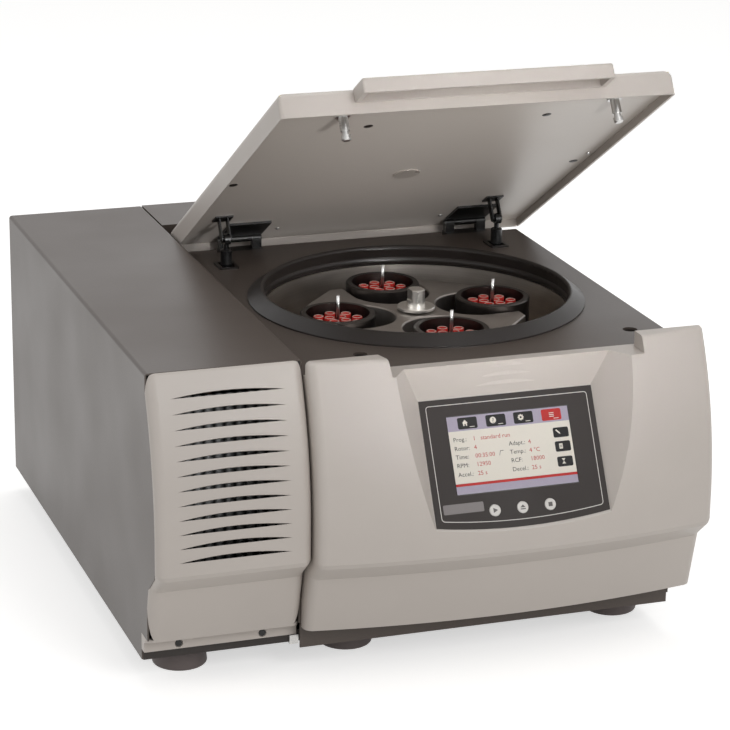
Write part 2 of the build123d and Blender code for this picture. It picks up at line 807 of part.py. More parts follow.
with BuildPart() as drive_shaft:
    with BuildSketch(chamber_plane):
        with BuildLine():
            Polyline((0, motor_top - 19.7), (shaft_radius, motor_top - 19.7),
                     (shaft_radius, cone_foot), (cone_foot_radius, cone_foot),
                     (cone_top_radius, cone_top), (0, cone_top), close=True)
        make_face()
    revolve(axis=chamber_axis)
save(drive_shaft, "drive_shaft")

# ---- Rotor ----
rotor_plane = Plane((chamber_x, chamber_y, 0),
                    x_dir=(cos(radians(rotor_turn)), sin(radians(rotor_turn)), 0), z_dir=(0, 0, 1))
fork_centre = 81.0
hub_radius = 26.0
hub_bottom = 302.0
stud_radius = 5.0
pin_end = bucket_inner + 4.8  # the trunnion pins stop short of the buckets' bore

with BuildPart() as rotor_cross:
    with BuildSketch(rotor_plane.offset(arm_bottom)):
        with BuildLine():
            Polyline((arm_reach, -arm_flat), (arm_reach, arm_flat), (arm_flat, arm_reach),
                     (-arm_flat, arm_reach), (-arm_reach, arm_flat), (-arm_reach, -arm_flat),
                     (-arm_flat, -arm_reach), (arm_flat, -arm_reach), close=True)
        make_face()
        with PolarLocations(0, bucket_places):
            with Locations((fork_centre, 0)):
                Circle(fork_half, mode=Mode.SUBTRACT)
            with Locations((fork_centre + arm_reach / 2, 0)):
                Rectangle(arm_reach, 2 * fork_half, mode=Mode.SUBTRACT)
    extrude(amount=arm_top - arm_bottom)
    chamfer(rotor_cross.edges().group_by(Axis.Z)[-1], length=1.5)
    with BuildSketch(rotor_plane.offset(hub_bottom)):
        Circle(hub_radius)
    extrude(amount=arm_top - hub_bottom)
    # Taper bore that sits on the spindle's cone, and the way for the nut's stud.
    with BuildSketch(chamber_plane):
        with BuildLine():
            Polyline((0, cone_foot), (cone_foot_radius + running_fit, cone_foot),
                     (cone_top_radius + running_fit, cone_top + 1), (stud_radius + 0.2, cone_top + 1),
                     (stud_radius + 0.2, arm_top + 1), (0, arm_top + 1), close=True)
        make_face()
    revolve(axis=chamber_axis, mode=Mode.SUBTRACT)
    # Trunnion pins, two facing each other across every fork.
    for place in range(bucket_places):
        turn = radians(rotor_turn + place * 360 / bucket_places)
        origin = (chamber_x + pivot_radius * cos(turn), chamber_y + pivot_radius * sin(turn), pivot_z)
        across = Plane(origin, x_dir=(cos(turn), sin(turn), 0), z_dir=(sin(turn), -cos(turn), 0))
        for side in (-1, 1):
            with BuildSketch(across.offset(side * pin_end)):
                Circle(pin_radius)
            extrude(amount=side * (fork_half + 1 - pin_end))
save(rotor_cross, "rotor_cross")

with BuildPart() as rotor_nut:
    with BuildSketch(chamber_plane):
        with BuildLine():
            Polyline((0, cone_top), (stud_radius, cone_top), (stud_radius, arm_top), (17, arm_top),
                     (nut_collar, arm_top + 2.5), (nut_collar, nut_shoulder - 1),
                     (nut_collar - 1, nut_shoulder), (nut_knob, nut_shoulder),
                     (nut_knob, nut_top - 1.2), (nut_knob - 1.2, nut_top), (0, nut_top), close=True)
        make_face()
    revolve(axis=chamber_axis)
    with BuildSketch(rotor_plane.offset(nut_shoulder + 8)):
        Rectangle(4 * nut_knob, 4 * nut_knob)
        Rectangle(2 * nut_flat, 4 * nut_knob, mode=Mode.SUBTRACT)
    extrude(amount=nut_top, mode=Mode.SUBTRACT)
save(rotor_nut, "rotor_nut")

# ---- Buckets and their tube racks ----
bucket_floor = 4.0
rack_radius = bucket_inner - 0.8
rack_foot = 6.0
base_z = pivot_z - bucket_base
rim_z = pivot_z + bucket_rim
slot_reach = bucket_inner + 4.4

for place in range(bucket_places):
    turn = radians(rotor_turn + place * 360 / bucket_places)
    middle = (chamber_x + pivot_radius * cos(turn), chamber_y + pivot_radius * sin(turn), 0)
    upright = Plane(middle, x_dir=(cos(turn), sin(turn), 0), z_dir=(sin(turn), -cos(turn), 0))
    level = Plane(middle, x_dir=(cos(turn), sin(turn), 0), z_dir=(0, 0, 1))
    bucket_axis = Axis(middle, (0, 0, 1))

    with BuildPart() as bucket:
        with BuildSketch(upright):
            with BuildLine():
                Polyline((0, base_z), (bucket_body - 8, base_z))
                RadiusArc((bucket_body - 8, base_z), (bucket_body, base_z + 8), -8)
                Polyline((bucket_body, base_z + 8), (bucket_body, pivot_z - collar_drop - 3),
                         (bucket_outer, pivot_z - collar_drop), (bucket_outer, rim_z - 1.5),
                         (bucket_outer - 1.5, rim_z), (bucket_inner, rim_z),
                         (bucket_inner, base_z + bucket_floor), (0, base_z + bucket_floor),
                         (0, base_z))
            make_face()
        revolve(axis=bucket_axis)
        # Open-ended slots that drop over the rotor's trunnion pins.
        for side in (-1, 1):
            with BuildSketch(upright.offset(side * slot_reach)):
                with Locations((0, pivot_z)):
                    Circle(pin_radius + pin_fit)
                with Locations((0, pivot_z - collar_drop)):
                    Rectangle(2 * (pin_radius + pin_fit), 2 * collar_drop)
            extrude(amount=side * 10, mode=Mode.SUBTRACT)
    save(bucket, f"bucket_{place + 1}")

    with BuildPart() as rack:
        with BuildSketch(level.offset(base_z + bucket_floor)):
            Circle(rack_radius)
        extrude(amount=rack_foot)
        with BuildSketch(level.offset(base_z + bucket_floor + rack_foot)):
            with PolarLocations(outer_ring, 8):
                Circle(tube_radius)
            with PolarLocations(inner_ring, 4, start_angle=45):
                Circle(tube_radius)
        extrude(amount=tube_top - base_z - bucket_floor - rack_foot)
        with BuildSketch(level.offset(tube_top - 30)):
            Circle(outer_ring + 3)
        extrude(amount=4)
        with BuildSketch(level.offset(tube_top)):
            with PolarLocations(outer_ring, 8):
                Circle(tube_bore)
            with PolarLocations(inner_ring, 4, start_angle=45):
                Circle(tube_bore)
        extrude(amount=-14, mode=Mode.SUBTRACT)
        with BuildSketch(level.offset(base_z + bucket_floor + rack_foot)):
            Circle(lifter_radius)
        extrude(amount=lifter_top - base_z - bucket_floor - rack_foot)
    save(rack, f"tube_rack_{place + 1}")

# ---- Lid, drawn closed and then swung open about its hinge line ----
lid_y = body_front + lid_front
lid_end_y = lid_y + lid_length
lid_top = lid_rim_z + lid_thickness
plate_z = lid_rim_z + lid_recess
plate_sheet = 2.0
hinge_line = Axis((0, hinge_line_y, hinge_z), (-1, 0, 0))
lid_swing = radians(lid_open)


def save_open(piece, name):
    """Swing a piece of the lid from shut to its stop, and write it there."""
    piece.part = piece.part.rotate(hinge_line, lid_open)
    save(piece, name)


def shut_place(open_y, open_z):
    """Where a point of the open lid lies when the lid is shut."""
    back = open_y - hinge_line_y
    up = open_z - hinge_z
    return (hinge_line_y + cos(lid_swing) * back - sin(lid_swing) * up,
            hinge_z + sin(lid_swing) * back + cos(lid_swing) * up)


window_x = 94.5
window_y = lid_y + 295
window_radius = 14.0
window_lip = 1.2
window_lip_width = 3.0

with BuildPart() as lid_shell:
    block(lid_left, right, lid_y, lid_end_y, lid_rim_z, lid_top)
    fillet(lid_shell.edges().filter_by(Axis.Z), radius=5)
    fillet(lid_shell.faces().sort_by(Axis.Z)[-1].edges().filter_by(Axis.X).sort_by(Axis.Y)[-1],
           radius=10)
    block(lid_left + lid_rim, right - lid_rim, lid_y + lid_rim, lid_end_y - lid_rim,
          lid_rim_z - 1, lid_top - lid_wall, Mode.SUBTRACT)
    with Locations((window_x, window_y, lid_top)):
        Cylinder(window_radius, 4 * lid_wall, mode=Mode.SUBTRACT)
save_open(lid_shell, "lid_shell")

with BuildPart() as lid_inner_plate:
    block(lid_left + lid_rim, right - lid_rim, lid_y + lid_rim, lid_end_y - lid_rim,
          plate_z, plate_z + plate_sheet)
    with Locations((window_x, window_y, plate_z)):
        Cylinder(window_radius, 4 * lid_wall, mode=Mode.SUBTRACT)
save_open(lid_inner_plate, "lid_inner_plate")

with BuildPart() as lid_foam:
    block(lid_left + lid_rim, right - lid_rim, lid_y + lid_rim, lid_end_y - lid_rim,
          plate_z + plate_sheet, lid_top - lid_wall)
    with Locations((window_x, window_y, plate_z)):
        Cylinder(window_radius, 4 * lid_thickness, mode=Mode.SUBTRACT)
save_open(lid_foam, "lid_foam")

with BuildPart() as sight_window:
    with BuildSketch(Plane.XY.offset(plate_z)):
        with Locations((window_x, window_y)):
            Circle(window_radius - 0.1)
    extrude(amount=lid_top - plate_z)
    with BuildSketch(Plane.XY.offset(plate_z)):
        with Locations((window_x, window_y)):
            Circle(window_radius + window_lip_width)
    extrude(amount=-window_lip)
save_open(sight_window, "sight_window")

handle_bottom = lid_top - handle_height

with BuildPart() as lid_handle:
    block(handle_left, handle_right, lid_y - handle_reach, lid_y, handle_bottom, lid_top)
    fillet(lid_handle.edges().filter_by(Axis.Z).group_by(Axis.Y)[0], radius=handle_corner)
    fillet(lid_handle.faces().sort_by(Axis.Z)[-1].edges().filter_by_position(
        Axis.Y, lid_y - handle_reach - 1, lid_y - 0.5), radius=handle_corner)
    block(handle_left + 2 * handle_wall, handle_right - 2 * handle_wall,
          lid_y - handle_reach + handle_wall, lid_y - handle_wall,
          handle_bottom - 1, lid_top - handle_wall, Mode.SUBTRACT)
save_open(lid_handle, "lid_handle")

neck_radius = 4.2
neck_top = plate_z - 19.5
neck_bottom = plate_z - 24.3

with BuildPart() as latch_pins:
    for x in latch_places:
        with BuildSketch(Plane((x, latch_y, 0), x_dir=(1, 0, 0), z_dir=(0, -1, 0))):
            with BuildLine():
                Polyline((0, plate_z), (9, plate_z), (9, plate_z - 2), (latch_radius, plate_z - 2),
                         (latch_radius, neck_top), (neck_radius, neck_top),
                         (neck_radius, neck_bottom), (latch_radius, neck_bottom),
                         (latch_radius, plate_z - latch_length + 1.5),
                         (latch_radius - 1.5, plate_z - latch_length),
                         (0, plate_z - latch_length), close=True)
            make_face()
        revolve(axis=Axis((x, latch_y, 0), (0, 0, 1)))
save_open(latch_pins, "latch_pins")

ear_radius = 4.5
leaf_sheet = 3.0
base_block_top = gutter_floor + 13

with BuildPart() as hinge_leaves:
    for x in hinge_places:
        block(x - hinge_width / 2, x + hinge_width / 2, hinge_line_y - 60,
              hinge_line_y - ear_radius - 2, plate_z - leaf_sheet, plate_z)
        block(x - knuckle_width / 2, x + knuckle_width / 2, hinge_line_y - ear_radius - 3,
              hinge_line_y, plate_z - leaf_sheet, plate_z)
        with BuildSketch(Plane.YZ.offset(x - knuckle_width / 2)):
            with Locations((hinge_line_y, hinge_z)):
                Circle(ear_radius)
        extrude(amount=knuckle_width)
        with BuildSketch(Plane.YZ.offset(x - knuckle_width / 2)):
            with Locations((hinge_line_y, hinge_z)):
                Circle(hinge_pin + running_fit)
        extrude(amount=knuckle_width, mode=Mode.SUBTRACT)
save_open(hinge_leaves, "hinge_leaves")

with BuildPart() as hinge_bases:
    for x in hinge_places:
        block(x - hinge_width / 2, x + hinge_width / 2, hinge_line_y - 17, hinge_line_y + 8,
              gutter_floor, base_block_top)
        for side in (-1, 1):
            ear_start = x + side * (knuckle_width / 2 + 0.4)
            with BuildSketch(Plane.YZ.offset(ear_start)):
                with Locations((hinge_line_y, hinge_z)):
                    Circle(ear_radius)
                with Locations((hinge_line_y, (base_block_top + hinge_z) / 2)):
                    Rectangle(2 * ear_radius, hinge_z - base_block_top)
            extrude(amount=side * (hinge_width - knuckle_width - 0.8) / 2)
        with BuildSketch(Plane.YZ.offset(x - hinge_width / 2 - 1)):
            with Locations((hinge_line_y, hinge_z)):
                Circle(hinge_pin)
        extrude(amount=hinge_width + 2)
save(hinge_bases, "hinge_bases")

# ---- Gas springs: rods on the body, cylinders that ride up with the lid ----
pin_y_open = body_front + spring_pin_y
pin_y_shut, pin_z_shut = shut_place(pin_y_open, spring_pin_z)
spring_travel = spring_pin_z - pin_z_shut
cylinder_bottom = cylinder_top - cylinder_length
cylinder_bore = 6.0
eye_half = 4.0
rod_top = cylinder_top - 7 - spring_travel

with BuildPart() as spring_clevises:
    for x in spring_places:
        block(x - 12, x + 12, pin_y_shut - 10, pin_y_shut + 10, plate_z - clevis_sheet, plate_z)
        for side in (-1, 1):
            with BuildSketch(Plane.YZ.offset(x + side * clevis_half)):
                with Locations((pin_y_shut, pin_z_shut)):
                    Circle(5)
                with Locations((pin_y_shut, (pin_z_shut + plate_z - 1) / 2)):
                    Rectangle(10, plate_z - 1 - pin_z_shut)
            extrude(amount=side * clevis_sheet)
        with BuildSketch(Plane.YZ.offset(x - clevis_half - clevis_sheet - 1)):
            with Locations((pin_y_shut, pin_z_shut)):
                Circle(spring_pin_radius)
        extrude(amount=2 * (clevis_half + clevis_sheet + 1))
save_open(spring_clevises, "spring_clevises")

for name, x in zip(("gas_spring_cylinder_left", "gas_spring_cylinder_right"), spring_places):
    spring_plane = Plane((x, spring_line_y, 0), x_dir=(1, 0, 0), z_dir=(0, -1, 0))
    with BuildPart() as cylinder:
        with BuildSketch(spring_plane):
            with BuildLine():
                Polyline((rod_radius + running_fit, cylinder_bottom),
                         (cylinder_radius, cylinder_bottom),
                         (cylinder_radius, cylinder_top - 1), (cylinder_radius - 1, cylinder_top),
                         (3.5, cylinder_top + 1), (3.5, spring_pin_z - 6), (0, spring_pin_z - 6),
                         (0, cylinder_top - 5), (cylinder_bore, cylinder_top - 5),
                         (cylinder_bore, cylinder_bottom + 4),
                         (rod_radius + running_fit, cylinder_bottom + 4), close=True)
            make_face()
        revolve(axis=Axis((x, spring_line_y, 0), (0, 0, 1)))
        with BuildSketch(Plane.YZ.offset(x - eye_half)):
            with Locations((spring_line_y, spring_pin_z)):
                SlotOverall(2 * spring_swing + 2 * (spring_pin_radius + 4), 13)
        extrude(amount=2 * eye_half)
        with BuildSketch(Plane.YZ.offset(x - eye_half)):
            with Locations((spring_line_y, spring_pin_z)):
                SlotOverall(2 * spring_swing + 2 * (spring_pin_radius + 0.4),
                            2 * (spring_pin_radius + 0.4))
        extrude(amount=2 * eye_half, mode=Mode.SUBTRACT)
    save(cylinder, name)

with BuildPart() as gas_spring_rods:
    for x, wall in zip(spring_places, (cabinet_right, body_right - sheet)):
        low, high = min(x - 12, wall), max(x + 12, wall)
        block(low, high, spring_line_y - 15, spring_line_y + 15, bracket_z - 3, bracket_z)
        foot = (wall, wall + 3) if wall < x else (wall - 3, wall)
        block(*foot, spring_line_y - 15, spring_line_y + 15, bracket_z - 28, bracket_z - 2)
        with BuildSketch(Plane.XY.offset(bracket_z)):
            with Locations((x, spring_line_y)):
                Circle(rod_radius)
        extrude(amount=rod_top - bracket_z)
        with BuildSketch(Plane.XY.offset(rod_top - 4)):
            with Locations((x, spring_line_y)):
                Circle(cylinder_bore - 0.1)
        extrude(amount=4)
save(gas_spring_rods, "gas_spring_rods")

# ---- Lid locks under the deck ----
bolt_sheet = 3.2
bolt_half = 8.5
bolt_gap = 0.4
bolt_retract = 9.5
bolt_length = 28.0
bolt_travel = 12.0
lock_floor = 345.0
neck_middle = (neck_top + neck_bottom) / 2

with BuildPart() as lid_locks:
    for x in latch_places:
        block(x - 16, x + 16, latch_y - 44, latch_y + 15, lock_floor, deck_under)
        block(x - bolt_half - bolt_gap, x + bolt_half + bolt_gap,
              latch_y - bolt_retract - bolt_length - 1, latch_y + 5,
              neck_middle - bolt_sheet / 2 - bolt_gap, neck_middle + bolt_sheet / 2 + bolt_gap,
              Mode.SUBTRACT)
        with BuildSketch(Plane.XY.offset(deck_under)):
            with Locations((x, latch_y)):
                Circle(latch_hole - 1)
        extrude(amount=-(deck_under - lock_floor - 3), mode=Mode.SUBTRACT)
save(lid_locks, "lid_locks")

with BuildPart() as lock_bolts:
    for x in latch_places:
        with BuildSketch(Plane.XY.offset(neck_middle - bolt_sheet / 2)):
            with Locations((x, latch_y - bolt_retract - bolt_length / 2)):
                Rectangle(2 * bolt_half, bolt_length)
            with Locations((x, latch_y - bolt_retract)):
                SlotOverall(2 * (bolt_travel + neck_radius + 0.8), 2 * (neck_radius + 0.8),
                            rotation=90, mode=Mode.SUBTRACT)
        extrude(amount=bolt_sheet)
save(lock_bolts, "lock_bolts")

# ---- Refrigeration in the cabinet ----
compressor_y = body_front + compressor_from_front
mount_rise = 14.0

with BuildPart() as compressor:
    with BuildSketch(Plane((cabinet_middle, compressor_y, 0), x_dir=(1, 0, 0), z_dir=(0, -1, 0))):
        with BuildLine():
            Polyline((0, base_top + mount_rise), (compressor_radius - 14, base_top + mount_rise),
                     (compressor_radius, base_top + mount_rise + 20),
                     (compressor_radius, compressor_top - 40))
            ThreePointArc((compressor_radius, compressor_top - 40),
                          (compressor_radius - 9, compressor_top - 13), (45, compressor_top))
            Polyline((45, compressor_top), (0, compressor_top), (0, base_top + mount_rise))
        make_face()
    revolve(axis=Axis((cabinet_middle, compressor_y, 0), (0, 0, 1)))
    with BuildSketch(Plane.XY.offset(base_top + mount_rise)):
        with Locations((cabinet_middle, compressor_y)):
            RectangleRounded(150, 170, 12)
    extrude(amount=4)
    with BuildSketch(Plane.XY.offset(base_top)):
        with Locations((cabinet_middle, compressor_y)):
            with GridLocations(120, 140, 2, 2):
                Circle(12)
    extrude(amount=mount_rise)
save(compressor, "compressor")

condenser_y = body_front + condenser_from_front
condenser_back = condenser_y + condenser_depth

with BuildPart() as condenser:
    block(cabinet_middle - condenser_width / 2, cabinet_middle + condenser_width / 2,
          condenser_y, condenser_back, base_top, condenser_top)
    for side in (-1, 1):
        with BuildSketch(Plane.YZ.offset(cabinet_middle + side * condenser_width / 2)):
            with Locations((condenser_y + condenser_depth / 2, (base_top + condenser_top) / 2)):
                with GridLocations(20, 44, 2, 6):
                    Circle(5)
        extrude(amount=side * 4)
save(condenser, "condenser")

fan_z = (base_top + condenser_top) / 2
fan_plane = Plane((cabinet_middle, condenser_back, fan_z), x_dir=(-1, 0, 0), z_dir=(0, 1, 0))
shroud_radius = fan_radius + fan_tip_gap
strut_start = 24.0

with BuildPart() as fan_shroud:
    with BuildSketch(fan_plane):
        Rectangle(condenser_width, condenser_top - base_top)
        Circle(shroud_radius, mode=Mode.SUBTRACT)
    extrude(amount=sheet)
    with BuildSketch(fan_plane):
        Circle(shroud_radius + 2)
        Circle(shroud_radius, mode=Mode.SUBTRACT)
    extrude(amount=strut_start + 4)
    with BuildSketch(fan_plane.offset(strut_start)):
        with PolarLocations(shroud_radius / 2, 3, start_angle=90):
            Rectangle(shroud_radius + 1, 8)
    extrude(amount=4)
    with BuildSketch(fan_plane.offset(strut_start)):
        Circle(22)
    extrude(amount=30)
    with BuildSketch(fan_plane.offset(strut_start)):
        Circle(fan_shaft)
    extrude(amount=-16)
save(fan_shroud, "fan_shroud")

with BuildPart() as condenser_fan:
    with Locations(fan_plane.offset(14)):
        with PolarLocations(43, 5):
            Box(54, 24, 2, rotation=(32, 0, 0))
    with BuildSketch(fan_plane.offset(6)):
        Circle(20)
    extrude(amount=strut_start - 6.5)
    with BuildSketch(fan_plane):
        Circle(fan_shaft + running_fit)
    extrude(amount=strut_start, mode=Mode.SUBTRACT)
save(condenser_fan, "condenser_fan")

guard_side_x = chamber_x - sqrt(guard_radius ** 2 - (suction_offset) ** 2)
suction_x = cabinet_middle + 20

with BuildPart() as refrigerant_pipes:
    with BuildLine() as discharge_path:
        FilletPolyline((cabinet_middle, compressor_y - 30, compressor_top),
                       (cabinet_middle, compressor_y - 30, condenser_top + 18),
                       (cabinet_middle, condenser_y + 20, condenser_top + 18),
                       (cabinet_middle, condenser_y + 20, condenser_top), radius=12)
    with BuildSketch(Plane.XY.offset(compressor_top)):
        with Locations((cabinet_middle, compressor_y - 30)):
            Circle(pipe_radius)
    sweep(path=discharge_path.line)
    with BuildLine() as suction_path:
        FilletPolyline((suction_x, suction_y, compressor_top),
                       (suction_x, suction_y, suction_z),
                       (guard_side_x - 1.5, suction_y, suction_z), radius=14)
    with BuildSketch(Plane.XY.offset(compressor_top)):
        with Locations((suction_x, suction_y)):
            Circle(pipe_radius)
    sweep(path=suction_path.line)
save(refrigerant_pipes, "refrigerant_pipes")

# ---- Electrics ----
board_y = body_front + 610
board_rise = 10.0

with BuildPart() as power_board:
    with BuildSketch(Plane.XY.offset(base_top)):
        with Locations((0, board_y)):
            with GridLocations(180, 110, 2, 2):
                Circle(4)
    extrude(amount=board_rise)
    with BuildSketch(Plane.XY.offset(base_top + board_rise)):
        with Locations((0, board_y)):
            Rectangle(200, 130)
    extrude(amount=1.6)
    with BuildSketch(Plane.XY.offset(base_top + board_rise + 1.6)):
        with Locations((-60, board_y)):
            Rectangle(56, 66)
    extrude(amount=46)
    with BuildSketch(Plane.XY.offset(base_top + board_rise + 1.6)):
        with Locations((40, board_y + 20)):
            with GridLocations(38, 0, 3, 1):
                Circle(15)
    extrude(amount=40)
save(power_board, "power_board")

rocker_x = inlet_x + inlet_width / 2 - rocker_width / 2 - 5
rocker_depth = 7.0
rocker_pin = 1.5
rocker_pin_reach = 1.5
socket_width = 30.0
socket_height = 22.0
socket_depth = 18.0
socket_x = inlet_x - inlet_width / 2 + socket_width / 2 + 4
pin_long = 12.0

with BuildPart() as mains_inlet:
    with BuildSketch(Plane.XZ.offset(-body_back)):
        with Locations((inlet_x, inlet_z)):
            Rectangle(inlet_width - 0.4, inlet_height - 0.4)
    extrude(amount=inlet_depth)
    with BuildSketch(Plane.XZ.offset(-body_back)):
        with Locations((socket_x, inlet_z)):
            Rectangle(socket_width, socket_height)
        with Locations((rocker_x, inlet_z)):
            Rectangle(rocker_width + 0.7, rocker_height + 3)
    extrude(amount=socket_depth, mode=Mode.SUBTRACT)
    with Locations((rocker_x, body_back - rocker_depth, inlet_z)):
        Cylinder(rocker_pin + running_fit, rocker_width + 2 * rocker_pin_reach + 0.4,
                 rotation=(0, 90, 0), mode=Mode.SUBTRACT)
    with BuildSketch(Plane.XZ.offset(socket_depth - body_back)):
        with Locations((socket_x - 7, inlet_z - 2), (socket_x, inlet_z + 3), (socket_x + 7, inlet_z - 2)):
            Rectangle(2, 5)
    extrude(amount=-pin_long)
save(mains_inlet, "mains_inlet")

lean = radians(rocker_swing / 2)
rocker_outline = ((-2.5, -8), (5.5, -rocker_height / 2), (3.6, 0), (5.5, rocker_height / 2), (-2.5, 8))

with BuildPart() as power_switch:
    with BuildSketch(Plane((rocker_x - rocker_width / 2, body_back - rocker_depth, inlet_z),
                           x_dir=(0, cos(lean), sin(lean)), z_dir=(1, 0, 0))):
        with BuildLine():
            Polyline(*rocker_outline, close=True)
        make_face()
    extrude(amount=rocker_width)
    with Locations((rocker_x, body_back - rocker_depth, inlet_z)):
        Cylinder(rocker_pin, rocker_width + 2 * rocker_pin_reach, rotation=(0, 90, 0))
save(power_switch, "power_switch")
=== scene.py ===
# %% [markdown]
# # A refrigerated bench centrifuge with its lid open
#
# The machine stands on a bench: a dark painted cabinet with the compressor on the left, and the
# chamber on the right with four swinging buckets, under a lid that two gas springs hold open.
# The CAD parts come first, as a fixed frame in metres. This lesson gives each of them the finish
# that the real part has, adds the small pieces that CAD leaves out, and lights them plainly.

import json
import math

import bpy
import numpy as np
from mathutils import Matrix


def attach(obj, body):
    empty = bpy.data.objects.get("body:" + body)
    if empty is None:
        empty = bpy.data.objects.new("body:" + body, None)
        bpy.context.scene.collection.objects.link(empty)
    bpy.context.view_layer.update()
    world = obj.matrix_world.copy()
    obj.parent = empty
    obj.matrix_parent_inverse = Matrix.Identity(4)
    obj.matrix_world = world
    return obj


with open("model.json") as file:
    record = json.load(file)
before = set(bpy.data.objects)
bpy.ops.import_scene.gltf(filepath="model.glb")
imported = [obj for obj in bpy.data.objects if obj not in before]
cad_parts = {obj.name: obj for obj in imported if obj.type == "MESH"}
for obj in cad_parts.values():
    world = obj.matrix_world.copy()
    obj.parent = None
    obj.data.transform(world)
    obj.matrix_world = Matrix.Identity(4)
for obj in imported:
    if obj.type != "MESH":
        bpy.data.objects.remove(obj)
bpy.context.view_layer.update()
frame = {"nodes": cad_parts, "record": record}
nodes = frame["nodes"]

# %% [markdown]
# ## Camera
#
# A product picture is taken from far away with a long lens, so that upright edges stay almost
# parallel. The camera stands 3.5 m away, 19 degrees to the left of the front and 18 degrees up.
# It is set from its three angles, which is easier to correct than a matrix of nine numbers.

# %% Place the camera
SENSOR = 36.0
FOCAL = 137.52
EYE = (-1.0921, -3.1997, 1.3727)
AZIMUTH = math.radians(-19.33)
ELEVATION = math.radians(17.995)
ROLL = math.radians(0.817)

away = np.array([math.sin(AZIMUTH) * math.cos(ELEVATION),
                 -math.cos(AZIMUTH) * math.cos(ELEVATION), math.sin(ELEVATION)])
level = np.array([math.cos(AZIMUTH), math.sin(AZIMUTH), 0.0])
upward = np.cross(away, level)
pose = np.eye(4)
pose[:3, 0] = math.cos(ROLL) * level + math.sin(ROLL) * upward
pose[:3, 1] = math.cos(ROLL) * upward - math.sin(ROLL) * level
pose[:3, 2] = away
pose[:3, 3] = EYE

camera = bpy.data.objects.new("camera", bpy.data.cameras.new("camera"))
bpy.context.scene.collection.objects.link(camera)
camera.data.lens = FOCAL
camera.data.sensor_width = SENSOR
camera.matrix_world = Matrix(pose.tolist())
bpy.context.scene.camera = camera
bpy.context.scene.view_settings.view_transform = "Standard"
print("camera at", EYE, "with a", FOCAL, "mm lens")

# %% [markdown]
# ## Nodes and colours
#
# Every finish below is a few shader nodes. One helper adds a node, sets its options, and either
# fills a socket with a value or links it to another node. Colours are written as the hex values
# that a picture shows, so a second helper turns them into the linear values that light works in.

# %% Two helpers for finishes
def linear(hex_colour):
    """Turns an sRGB hex colour into linear red, green, blue and alpha."""
    shown = np.array([int(hex_colour[i:i + 2], 16) for i in (1, 3, 5)]) / 255
    light = np.where(shown <= 0.04045, shown / 12.92, ((shown + 0.055) / 1.055) ** 2.4)
    return (*light.tolist(), 1.0)


def add(tree, kind, sockets=None, **options):
    """Adds one shader node, sets its options, and fills or links its sockets."""
    made = tree.nodes.new("ShaderNode" + kind)
    for name, value in options.items():
        setattr(made, name, value)
    for name, value in (sockets or {}).items():
        if isinstance(value, bpy.types.NodeSocket):
            tree.links.new(value, made.inputs[name])
        else:
            made.inputs[name].default_value = value
    return made


def begin(name):
    """An empty material, its tree, and the piece's own coordinates in metres."""
    material = bpy.data.materials.new(name)
    material.use_nodes = True
    tree = material.node_tree
    tree.nodes.clear()
    return material, tree, add(tree, "TexCoord").outputs["Object"]


def show(tree, surface):
    """Sends a shader to the material's output."""
    add(tree, "OutputMaterial", {"Surface": surface.outputs[0]})


def per_mm(size):
    """The noise scale whose features are about this many millimetres wide."""
    return 1000.0 / size


# %% [markdown]
# ## Floor and light
#
# The machine stands on a plain pale floor under soft studio light. Lamps at a plain level keep
# every colour as it is written. The white surroundings are drawn only for rays that see them
# directly, in a mirror or through glass, so they add no light of their own to the machine, and
# the floor keeps the machine's shadow.

# %% A floor that fades into white
def seen_directly(tree):
    """1 for a ray that comes straight, in a reflection or through glass, and 0 for any other."""
    path = add(tree, "LightPath")
    mirrored = add(tree, "Math", {0: path.outputs["Is Camera Ray"],
                                  1: path.outputs["Is Glossy Ray"]}, operation="ADD")
    return add(tree, "Math", {0: mirrored.outputs[0], 1: path.outputs["Is Transmission Ray"]},
               operation="ADD", use_clamp=True).outputs[0]


FLOOR_HALF = 6.0
FLOOR_LIFT = 0.58  # light added to the floor so that it meets the white behind it

floor_mesh = bpy.data.meshes.new("floor")
corners = [(sx * FLOOR_HALF, sy * FLOOR_HALF, 0) for sx, sy in ((-1, -1), (1, -1), (1, 1), (-1, 1))]
floor_mesh.from_pydata(corners, [], [(0, 1, 2, 3)])
floor = bpy.data.objects.new("floor", floor_mesh)
bpy.context.scene.collection.objects.link(floor)

floor_paper, tree, _ = begin("pale_floor_paper")
paper = add(tree, "BsdfDiffuse", {"Color": linear("#E6E5E3")})
lift = add(tree, "Math", {0: seen_directly(tree), 1: FLOOR_LIFT}, operation="MULTIPLY")
glow = add(tree, "Emission", {"Color": linear("#FFFFFF"), "Strength": lift.outputs[0]})
show(tree, add(tree, "AddShader", {0: paper.outputs[0], 1: glow.outputs[0]}))
floor_mesh.materials.append(floor_paper)

WORLD_LIGHT = 0.43
world = bpy.data.worlds.new("studio")
bpy.context.scene.world = world
world.use_nodes = True
world.node_tree.nodes.clear()
strength = add(world.node_tree, "MapRange", {"Value": seen_directly(world.node_tree),
                                             "To Min": WORLD_LIGHT, "To Max": 1.0})
around = add(world.node_tree, "Background", {"Color": linear("#FFFFFF"),
                                             "Strength": strength.outputs[0]})
add(world.node_tree, "OutputWorld", {"Surface": around.outputs[0]})
print("floor", 2 * FLOOR_HALF, "m wide, world light", WORLD_LIGHT)


